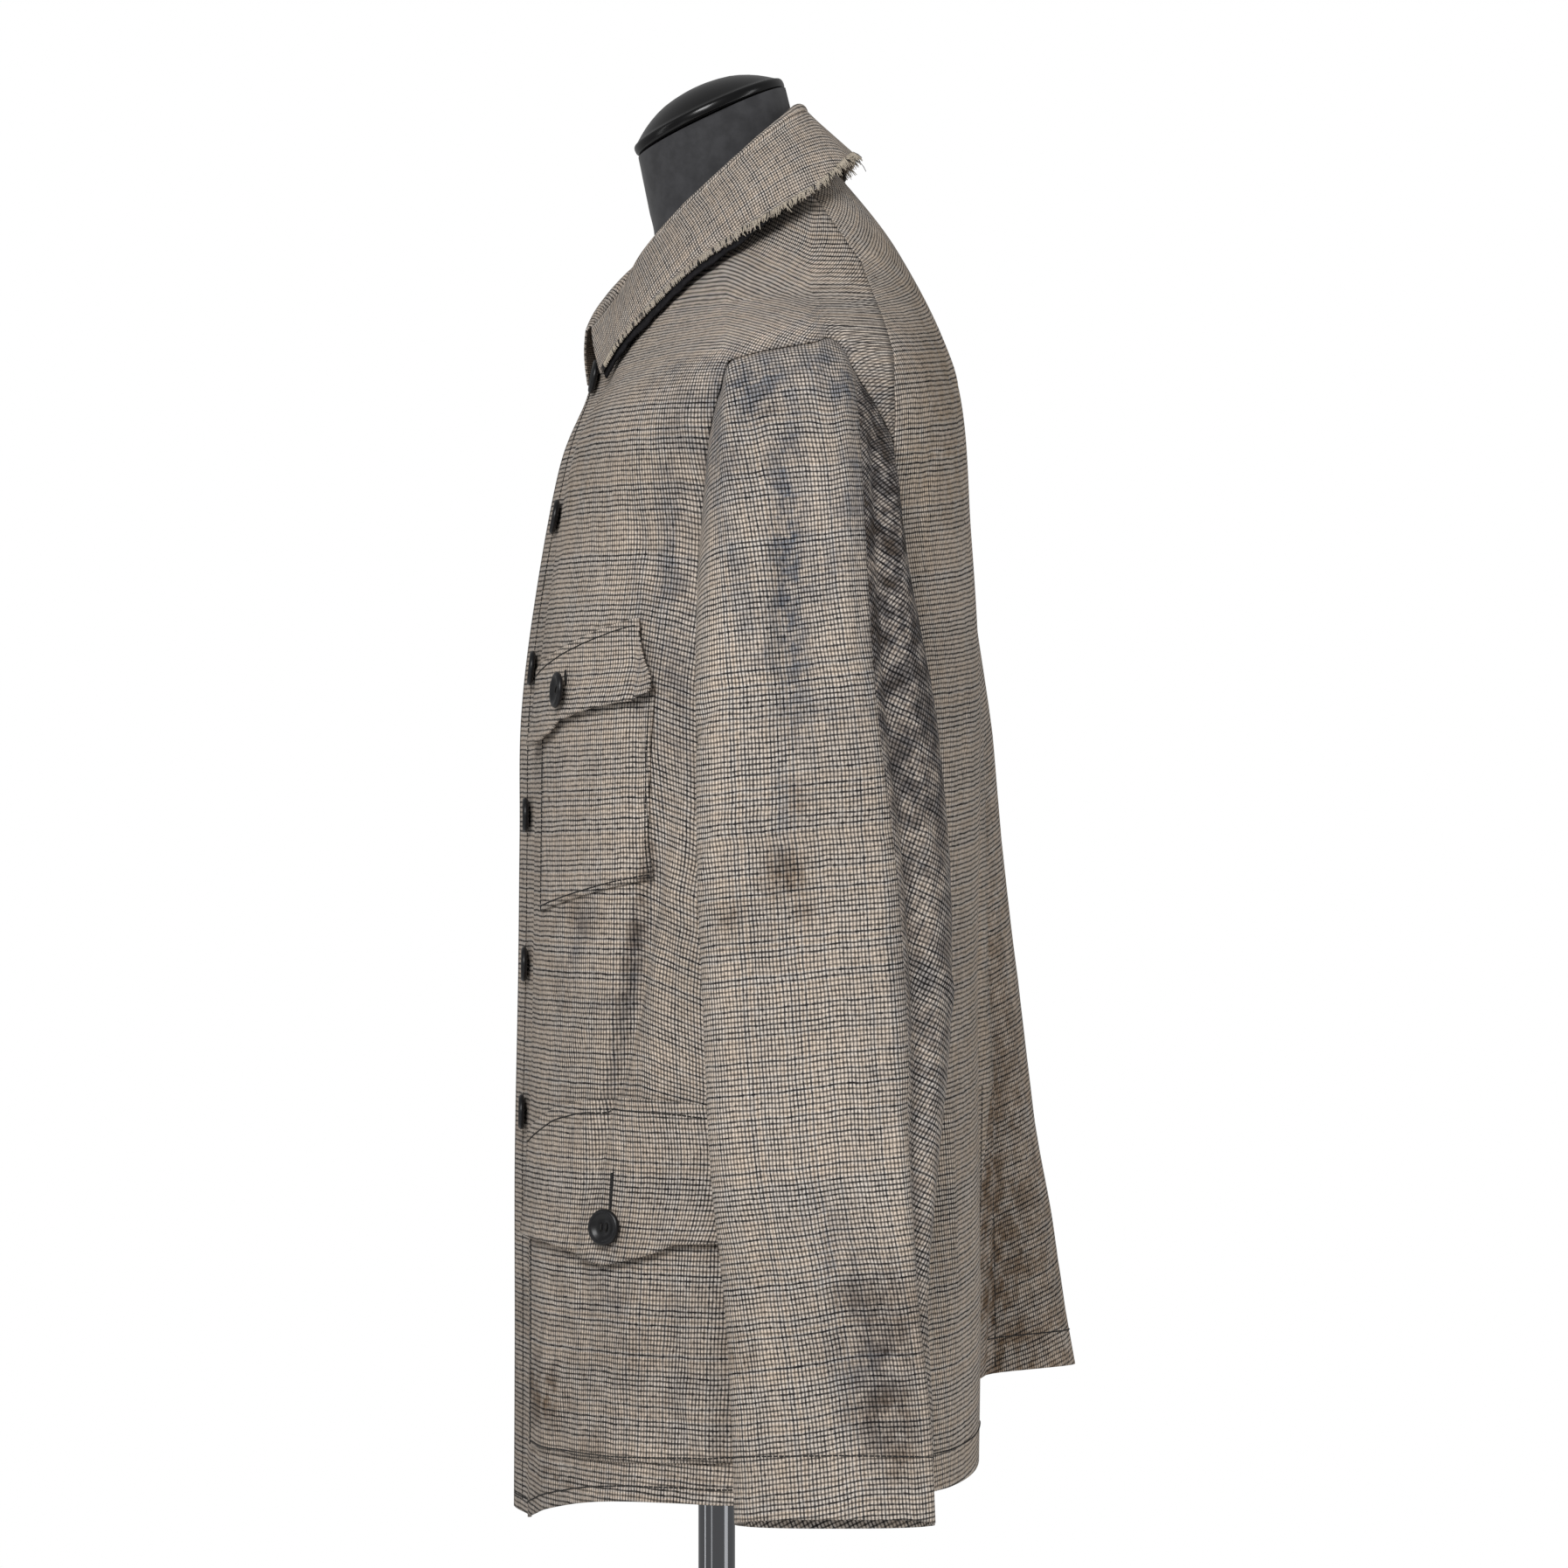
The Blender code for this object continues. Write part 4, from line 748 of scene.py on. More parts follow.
def levels_of(spans):
    """Row numbers, evenly spaced within each span."""
    parts = [np.linspace(low, high, count + 1)[(k > 0):] for k, (low, high, count) in enumerate(spans)]
    return np.concatenate(parts)


def spaced(start, stop, count):
    """Angles from start to stop on each row."""
    share = np.linspace(0, 1, count + 1)
    return start[:, None] + (stop - start)[:, None] * share[None, :]


def cap_ring(share):
    """The ring of the cap seam on the shoulder: 0 at the front's armhole line, 1 at the shoulder seam."""
    places, heights = zip(*CAP_SEAM)
    low = edge_angle("front_armhole_y", np.array(float(CAP)))
    high = edge_angle("back_armhole_y", np.array(float(CAP)))
    phi = low + (high - low) * share
    top = section(LEFT, phi, np.full_like(phi, CAP))[..., 2]
    return ring_at(LEFT, phi, top + np.interp(share, places, heights))


def armhole_path(side, psi, spread=1.0, out=0.0):
    """The armhole's edge: 0 at the front, 90 on the shoulder, 180 at the back, 270 under the arm."""
    middle = (UNDERARM + CAP) / 2
    front, back = "front_armhole_y", "back_armhole_y"
    share = np.linspace(0, 1, 2 * ARMHOLE_STEPS + 1)[1:]
    above = cap_ring(share)
    over = edge_angle(front, above) + (edge_angle(back, above) - edge_angle(front, above)) * share
    floor = [float(edge_angle(edge, np.array(float(UNDERARM)))) for edge in (back, front)]
    up = np.linspace(middle, CAP, ARMHOLE_STEPS)
    down = np.linspace(above[-1], UNDERARM, 2 * ARMHOLE_STEPS + 1)[1:]
    rise = np.linspace(UNDERARM, middle, ARMHOLE_STEPS + 1)[1:]
    under = np.linspace(floor[0], floor[1], ARMHOLE_STEPS + 1)[1:]
    parts = (edge_angle(front, up), over, edge_angle(back, down), under, edge_angle(front, rise))
    ends = np.cumsum([len(part) for part in parts]) - 1
    phi = np.concatenate(parts)
    ring = np.concatenate((up, above, down, np.full_like(under, UNDERARM), rise))
    points = section(side, phi, ring)
    length = travelled(points)
    phi_middle, ring_middle = np.mean(phi), np.mean(ring)
    phi, ring = phi_middle + (phi - phi_middle) * spread, ring_middle + (ring - ring_middle) * spread
    moved = body(side, phi, ring, out)
    quarter = (0, (ends[0] + ends[1]) // 2, (ends[1] + ends[2]) // 2, (ends[2] + ends[3]) // 2, ends[4])
    wanted = np.interp(np.mod(psi, 360), (0, 90, 180, 270, 360), length[list(quarter)])
    ring_of = np.concatenate((moved[-3:-1], moved, moved[1:3]))
    soft = (ring_of[:-4] + ring_of[1:-3] + ring_of[2:-2] + ring_of[3:-1] + ring_of[4:]) / 5
    return followed(wanted, length, soft)


def sleeve_ring(side, psi, row):
    """A level ring of the sleeve, by fractional row of its table."""
    at = {name: spline(SLEEVE[name], row) for name in SLEEVE_COLUMNS}
    front, thick = squared_round(np.radians(psi), SLEEVE_POWER)
    y = (at["y_front"] + at["y_back"]) / 2 - (at["y_back"] - at["y_front"]) / 2 * front
    x = (at["x_inner"] + at["x_outer"]) / 2 + (at["x_outer"] - at["x_inner"]) / 2 * thick
    x = x - at["skew"] * np.clip(-front, 0, 1) ** 2
    z = at["z"] + at["drop"] * thick
    return np.stack((side * x, y, z), axis=-1)


def sleeve(side, psi, row):
    """The sleeve's surface: row 0 is the armhole, 1 the first level ring, then down to the cuff."""
    psi, row = np.broadcast_arrays(np.asarray(psi, dtype=float), np.asarray(row, dtype=float))
    turn = np.mod(psi, 360)
    lean = {name: np.interp(turn, CAP_TABLE["angle"], CAP_TABLE[name]) for name in CAP_COLUMNS}
    leave = unit(np.stack((side * lean["out_x"], lean["out_y"], lean["out_z"]), axis=-1))
    start = armhole_path(side, psi, CAP_INSIDE) + leave * CAP_STARTS
    lower = sleeve_ring(side, psi, np.clip(row - 1, 0, len(SLEEVE_ROWS) - 1))
    first = sleeve_ring(side, psi, np.zeros_like(row))
    rise = unit(first - sleeve_ring(side, psi, np.full_like(row, 0.1)))
    # a smooth curve from the armhole to the first ring
    t = np.clip(row, 0, 1)[..., None]
    b = start + leave * lean["leave"][..., None]
    c = first + rise * lean["arrive"][..., None]
    head = start * (1 - t) ** 3 + 3 * b * t * (1 - t) ** 2 + 3 * c * t ** 2 * (1 - t) + first * t ** 3
    point = np.where(row[..., None] <= 1, head, lower)
    push = np.zeros_like(psi)
    for middle, half, depth, low, high in SLEEVE_FOLDS:
        fade = bell(2 * (point[..., 2] - low) / (high - low) - 1)
        push = push + depth * fade * bell((psi - middle) / half)
    angle = np.mod(psi + SLEEVE_FROM, 360) - SLEEVE_FROM
    push = push + creased(SLEEVE_CREASES, angle, point[..., 2], SLEEVE_METRES_PER_DEGREE)
    beyond = angle - hindarm(row)
    ridge, trough = (height * bell((beyond - place) / half)
                     for height, place, half in (HINDARM_RIDGE, HINDARM_TROUGH))
    push = push + np.interp(row, *zip(*HINDARM_FADES)) * (ridge - trough)
    across = np.radians(psi)
    return point + np.stack((side * np.sin(across) * push, -np.cos(across) * push, 0 * push), axis=-1)


def hindarm(row):
    """The angle of the seam at the back of the sleeve."""
    lower = spline(SLEEVE["seam_angle"], np.clip(row - 1, 0, len(SLEEVE_ROWS) - 1))
    return np.where(row < 1, SEAM_AT_ARMHOLE + (lower - SEAM_AT_ARMHOLE) * np.clip(row, 0, 1), lower)


def collar_frame(along):
    """Collar values from the left front end (-8) round the back (0) to the right front end (8)."""
    row = len(COLLAR_ROWS) - 1 - np.abs(along)
    at = {name: spline(COLLAR[name], row) for name in COLLAR_COLUMNS}
    side = np.where(along <= 0, 1, -1)
    phi = np.radians(at["angle"])
    neck = np.full_like(phi, float(NECK))
    base = np.where(side[:, None] > 0, section(LEFT, phi, neck), section(RIGHT, phi, neck))
    fold = np.stack((side * at["fold_x"], at["fold_y"], at["fold_z"]), axis=-1)
    edge = np.stack((side * at["edge_x"], at["edge_y"], at["edge_z"]), axis=-1)
    for line in (fold, edge):
        near_front = np.clip((TURN_STARTS - line[:, 1]) / TURN_LENGTH, 0, 1)
        line[:, 1] += near_front * front_turn(line[:, 0])
    tangent = np.gradient(fold, axis=0)
    away = unit(np.stack((tangent[:, 1], -tangent[:, 0], 0 * tangent[:, 2]), axis=-1))
    away *= np.sign(away[len(along) // 2, 1])
    return base, fold, edge, away, at["radius"][:, None], at["bow"][:, None]


def collar_points(along):
    """Neckline, stand, fold and fall."""
    base, fold, edge, away, radius, bow = collar_frame(along)
    inner = fold - away * radius - UP * radius
    outer = fold + away * radius - UP * radius
    foot = base + unit(inner - base) * COLLAR_FOOT
    rows = [foot + (inner - foot) * k / STAND_STEPS for k in range(STAND_STEPS + 1)]
    for angle in FOLD_ANGLES:
        turn = math.radians(angle)
        rows.append(fold + radius * (away * math.cos(turn) + UP * (math.sin(turn) - 1)))
    for k in range(FALL_STEPS + 1):
        share = k / FALL_STEPS
        rows.append(outer + (edge - outer) * share + (away + UP) * bow * math.sin(math.pi * share))
    return np.stack(rows, axis=0)


def under_collar_points(along):
    """The black layer below the fall, a little deeper than it."""
    _, fold, edge, away, radius, bow = collar_frame(along)
    outer = fold + away * radius - UP * radius
    length = np.linalg.norm(edge - outer, axis=-1, keepdims=True)
    down = (edge - outer) / length
    inward = unit(np.cross(np.gradient(edge, axis=0), down))
    inward *= np.sign(inward[..., 2:3]) * -1
    drop = np.interp(np.abs(along), *zip(*UNDER_COLLAR_DROP))
    rows = []
    for k in range(FALL_STEPS + 1):
        share = UNDER_COLLAR_START + (1 - UNDER_COLLAR_START) * k / FALL_STEPS
        reach = length * share + drop[:, None] * (k / FALL_STEPS)
        bulge = (away + UP) * bow * math.sin(math.pi * share)
        rows.append(outer + down * reach + bulge + inward * UNDER_COLLAR_INSET)
    return np.stack(rows, axis=0)


def front_phi(ring, column, seam_share=1.0):
    """The angle of a front's lengthwise line: 0 at its edge, 12 at the armhole line, 16 at the seam."""
    shoulder = edge_angle("back_armhole_y", ring)
    seam = np.where(ring <= UNDERARM + NUDGE, edge_angle("side_seam_y", ring), shoulder)
    seam = seam - np.interp(ring, *zip(*SLACK_ROWS)) * seam_share
    armhole = edge_angle("front_armhole_y", ring)
    start = angle_of_x(ring, np.full_like(ring, -LAP))
    ahead = start + (armhole - start) * column / FRONT_CELLS[0]
    behind = armhole + (seam - armhole) * (column - FRONT_CELLS[0]) / FRONT_CELLS[1]
    return np.where(column <= FRONT_CELLS[0], ahead, behind)


def front_surface(side, column, ring, out=0.0, seam_share=1.0):
    """A point of a front, by line and ring, moved out."""
    column, ring = np.broadcast_arrays(np.asarray(column, dtype=float), np.asarray(ring, dtype=float))
    phi = front_phi(ring, column, seam_share)
    if side == LEFT:
        return body(side, phi, ring, out)
    base = section(side, phi, ring)
    under = np.clip((base[..., 0] - LAP_STARTS) / LAP_EASE, 0, 1)
    under = under * under * (3 - 2 * under) * np.where(np.cos(phi) > 0, 1, 0)
    return body(side, phi, ring, out - LAP_INSET * under + 1e-9)


def front_ring_at(side, column, z):
    """The ring that has this height on this line of the front."""
    column, z = np.broadcast_arrays(np.asarray(column, dtype=float), np.asarray(z, dtype=float))
    return ring_where(side, lambda ring: front_phi(ring, column), z, 30)


def pocket_ends(kind):
    """The lines of the front between which a pocket or flap lies."""
    heights = POCKET_HEIGHTS[kind]
    level = levels_of(BODY_SPANS)
    column = np.arange(sum(FRONT_CELLS) + 1)
    height = section(LEFT, front_phi(level, np.zeros_like(level)), level)[:, 2]
    low = np.mean([entry[1] for entry in heights])
    high = np.mean([entry[2] for entry in heights])
    ring = level[np.argmin(np.abs(height - (low + high) / 2))]
    angle = np.degrees(front_phi(np.full(len(column), ring), column))
    return np.interp(POCKET_ENDS[kind], angle, column)


def share_of(kind, degrees):
    """Where a pocket or flap has this angle round the body: 0 at its front, 1 at its rear."""
    low, high = pocket_ends(kind)
    middle = np.mean([(entry[1] + entry[2]) / 2 for entry in POCKET_HEIGHTS[kind]])
    share = np.linspace(-0.2, 1.2, 141)
    column = low + (high - low) * share
    ring = front_ring_at(LEFT, column, np.full_like(column, middle))
    return float(np.interp(degrees, np.degrees(front_phi(ring, column)), share))


def patch(kind, side, share, climb, out=0.0):
    """A point of a pocket or flap: share from front to rear, climb from bottom to top."""
    higher = RIGHT_LIFT[kind.split("_")[0]] if side == RIGHT else 0.0
    share, climb = np.broadcast_arrays(np.asarray(share, dtype=float), np.asarray(climb, dtype=float))
    ends = pocket_ends(kind)
    places, low, high = [np.array(values) for values in zip(*POCKET_HEIGHTS[kind])]
    bottom = np.interp(share, places, low) + higher
    top = np.interp(share, places, high) + higher
    column = ends[0] + (ends[1] - ends[0]) * share
    ring = front_ring_at(side, column, bottom + (top - bottom) * climb)
    flat, free, rear = DRAPE[kind]
    stand = flat + free * (1 - climb) ** 2 + rear * share ** REAR_POWER * (1 - climb * REAR_FADE)
    return front_surface(side, column, ring, stand + out)


def sleeve_surface(side, psi, row, out=0.0):
    """A point of the sleeve moved out along its normal."""
    point = sleeve(side, psi, row)
    around = sleeve(side, psi + 0.5, row) - sleeve(side, psi - 0.5, row)
    down = sleeve(side, psi, np.minimum(row + NUDGE, CUFF)) - sleeve(side, psi, np.maximum(row - NUDGE, 0.0))
    normal = unit(np.cross(around, down) * side)
    opposite = sleeve(side, psi + 180.0, row)
    outward = np.sum((point - opposite) * normal, axis=-1, keepdims=True)
    return point + normal * np.sign(outward) * out


def unevenness(at, spacing, seed):
    """Irregular values between -1 and 1 along a line, evenly spaced and joined."""
    chance = random.Random(seed)
    count = int((np.max(at) - np.min(at)) / spacing) + 3
    knots = np.array([chance.uniform(-1, 1) for _ in range(count)])
    return np.interp((at - np.min(at)) / spacing, np.arange(count), knots)


def lay_out(points, row, column=0, turn=0.0, falling=False):
    """Cloth coordinates in metres: across from a column, up from a row's own height."""
    across = np.linalg.norm(np.diff(points, axis=1), axis=2)
    u = np.concatenate((np.zeros((len(points), 1)), np.cumsum(across, axis=1)), axis=1)
    u = u - u[:, column:column + 1]
    up = np.linalg.norm(np.diff(points, axis=0), axis=2)
    v = np.concatenate((np.zeros((1, points.shape[1])), np.cumsum(up, axis=0)), axis=0)
    v = -v if falling else v
    v = v - v[row:row + 1] + points[row:row + 1, :, 2]
    return turned_cloth(np.stack((u, v), axis=-1), turn)


def turned_cloth(flat, degrees):
    """Cloth coordinates turned in the plane of the cloth."""
    turn = math.radians(degrees)
    cosine, sine = math.cos(turn), math.sin(turn)
    u, v = flat[..., 0], flat[..., 1]
    return np.stack((u * cosine - v * sine, u * sine + v * cosine), axis=-1)


def soiled_and_shaded(points, side, piece="plain"):
    """Stains and painted shade at each point: blue-grey, brown and yellowed."""
    amount = np.zeros(points.shape[:-1] + (4,))
    amount[..., :3] = SOIL_AND_SHADE_ALL_OVER[piece]
    amount[..., 3] = 1
    x, y, z = (points[..., k] for k in range(3))
    # the undersleeve's blue-grey and brown are mostly painted shade below the top sleeve, deeper towards the
    # armhole, with some staining
    if piece == "undersleeve":
        fade = by_height(z, UNDERSLEEVE_SHADE_AND_SOIL)
        amount[..., :2] *= fade[..., None] * (1.0 if side == LEFT else HIDDEN_UNDERSLEEVE)
    # painted shade, brown, on the right back beside the vent under the left back's edge, fading upwards
    if piece == "back" and side == RIGHT:
        near = np.clip((x - VENT_SHADE_FROM) / VENT_SHADE_EASE, 0, 1)
        amount[..., 1] = by_height(z, RIGHT_BACK_VENT_SHADE) * near
    # the fronts are darker towards the bottom
    if piece == "front":
        amount[..., :2] += by_height(z, LOW_FRONT_DARKENING)[..., None] * LOW_FRONT_DARKENING_KINDS
    for at_x, at_y, at_z, reach_y, reach_z, lean, strength, kind in STAIN_AND_SHADE_ROWS:
        turn = math.radians(lean)
        dy, dz = y - at_y, z - at_z
        along = (dy * math.cos(turn) + dz * math.sin(turn)) / reach_y
        upward = (dz * math.cos(turn) - dy * math.sin(turn)) / reach_z
        far = np.sqrt(along ** 2 + upward ** 2 + ((np.abs(x) - at_x) / STAIN_AND_SHADE_DEPTH) ** 2)
        here = strength * bell(far / STAIN_AND_SHADE_EASE) * (1.0 if side == LEFT else HIDDEN_SIDE)
        amount[..., kind] = np.maximum(amount[..., kind], here)
    return amount


def ready(name, mesh, slot, *nodes):
    """An object that rides on the root and stands for its nodes; the slot is not used."""
    thing = bpy.data.objects.new(name, mesh)
    bpy.context.scene.collection.objects.link(thing)
    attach(thing, "root")
    if nodes:
        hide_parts(*nodes)
    return thing


def mesh_of(build, name, finish=None, smooth=True, sharp=None):
    """The mesh of a bmesh. Edges sharper than this angle in degrees stay hard."""
    mesh = bpy.data.meshes.new(name)
    build.to_mesh(mesh)
    build.free()
    if smooth:
        mesh.shade_smooth()
    if sharp:
        mesh.set_sharp_from_angle(angle=math.radians(sharp))
    if finish:
        mesh.materials.append(finish)
    return mesh


def grid_of(points):
    """A bmesh sheet through rows and columns of points."""
    build = bmesh.new()
    bmesh.ops.create_grid(build, x_segments=points.shape[1] - 1, y_segments=points.shape[0] - 1, size=1.0)
    for vert, point in zip(build.verts, points.reshape(-1, 3)):
        vert.co = point
    return build


def spun(profile, steps):
    """A half section of (radius, height) points, turned about Z."""
    build = bmesh.new()
    verts = [build.verts.new((radius, 0.0, height)) for radius, height in profile]
    edges = [build.edges.new(pair) for pair in zip(verts, verts[1:])]
    bmesh.ops.spin(build, geom=verts + edges, cent=(0, 0, 0), axis=(0, 0, 1), dvec=(0, 0, 0),
                   angle=2 * math.pi, steps=steps, use_merge=True, use_duplicate=False)
    bmesh.ops.remove_doubles(build, verts=build.verts, dist=1e-6)
    bmesh.ops.recalc_face_normals(build, faces=build.faces)
    return build


def cloth(name, stands_for, points, uv, soil, settings, made, missing=None, flip=False, finish=CHECK,
          slot="check_cloth"):
    """A thin shell of cloth through a grid of points, with its own lengths as UVs."""
    columns = points.shape[1]
    build = grid_of(points)
    build.verts.index_update()
    stain_and_shade = build.verts.layers.float_color.new("Soil")
    for vert, value in zip(build.verts, soil.reshape(-1, 4)):
        vert[stain_and_shade] = value
    length = build.loops.layers.uv.new("Cloth")
    flat = uv.reshape(-1, 2)
    for face in build.faces:
        for loop in face.loops:
            loop[length].uv = flat[loop.vert.index]
    if missing is not None:
        gone = []
        for face in build.faces:
            cell = min(vert.index for vert in face.verts)
            if missing[cell // columns, cell % columns]:
                gone.append(face)
        bmesh.ops.delete(build, geom=gone, context="FACES")
        loose = [vert for vert in build.verts if not vert.link_faces]
        bmesh.ops.delete(build, geom=loose, context="VERTS")
    if flip:
        bmesh.ops.reverse_faces(build, faces=build.faces)
    thing = ready(name, mesh_of(build, name, made[finish]), slot, stands_for)
    wall = thing.modifiers.new("Cloth wall", "SOLIDIFY")
    wall.thickness = settings.thickness
    wall.offset = 0.0
    wall.use_even_offset = False
    return thing


def turned(name, profile, steps, place, finish, slot, stands_for, sharp=30.0):
    """A turned piece."""
    build = spun(profile, steps)
    bmesh.ops.transform(build, matrix=place, verts=build.verts)
    return ready(name, mesh_of(build, name, finish, sharp=sharp), slot, stands_for)


def resampled(path, step):
    """Points evenly spaced along a path."""
    path = np.asarray(path, dtype=float)
    length = travelled(path)
    count = max(int(length[-1] / step), 1)
    return followed(np.linspace(0, length[-1], count + 1), length, path)


def thread_between(build, a, b, thick, thin, sides=5):
    """One straight bit of thread."""
    a, b = Vector(a), Vector(b)
    way = b - a
    if way.length < 1e-6:
        return
    turn = way.to_track_quat("Z", "Y").to_matrix().to_4x4()
    place = Matrix.Translation((a + b) / 2) @ turn
    bmesh.ops.create_cone(build, cap_ends=True, segments=sides, radius1=thick, radius2=thin,
                          depth=way.length, matrix=place)


def sewn(name, paths, finish, pitch, share=0.78, thick=0.00030):
    """Rows of stitches along paths, as one piece."""
    build = bmesh.new()
    for path in paths:
        line = resampled(path, pitch)
        for a, b in zip(line, line[1:]):
            thread_between(build, a, a + (b - a) * share, thick, thick)
    ready(name, mesh_of(build, name, finish), "check_cloth")


def linear(code):
    """An sRGB hex colour as linear RGBA."""
    parts = [int(code[k:k + 2], 16) / 255 for k in (0, 2, 4)]
    return tuple(p / 12.92 if p <= 0.04045 else ((p + 0.055) / 1.055) ** 2.4 for p in parts) + (1.0,)


def node(tree, kind, settings=(), **inputs):
    """Adds a shader node. An input is a value or another node's socket."""
    made = tree.nodes.new(kind)
    for name, value in dict(settings).items():
        setattr(made, name, value)
    for key, value in inputs.items():
        place = int(key[1:]) if key[1:].isdigit() else key.replace("_", " ")
        if isinstance(value, bpy.types.NodeSocket):
            tree.links.new(value, made.inputs[place])
        else:
            made.inputs[place].default_value = value
    return made


def maths(tree, operation, first, second=0.0, third=0.0, clamp=False):
    """The result of a Math node."""
    settings = {"operation": operation, "use_clamp": clamp}
    return node(tree, "ShaderNodeMath", settings, i0=first, i1=second, i2=third).outputs[0]


def ramp(tree, value, low, high, bottom=0.0, top=1.0, smooth=True):
    """Maps a value from one range to another, held at the ends."""
    settings = {"interpolation_type": "SMOOTHSTEP" if smooth else "LINEAR", "clamp": True}
    made = node(tree, "ShaderNodeMapRange", settings, i0=value, i1=low, i2=high, i3=bottom, i4=top)
    return made.outputs[0]


def mixed(tree, share, first, second, blend="MIX"):
    """The mix of two colours."""
    settings = {"data_type": "RGBA", "blend_type": blend, "clamp_result": True}
    return node(tree, "ShaderNodeMix", settings, i0=share, i6=first, i7=second).outputs[2]


def noise(tree, place, scale, detail=2.0, rough=0.5):
    """Noise with features of about 1 / scale metres."""
    made = node(tree, "ShaderNodeTexNoise", {"noise_dimensions": "3D"}, Vector=place, Scale=scale,
                Detail=detail, Roughness=rough)
    return made.outputs[0]


def finish_named(name):
    """A new material with its node tree and its shader."""
    finish = bpy.data.materials.new(name)
    finish.use_nodes = True
    tree = finish.node_tree
    return finish, tree, tree.nodes["Principled BSDF"]


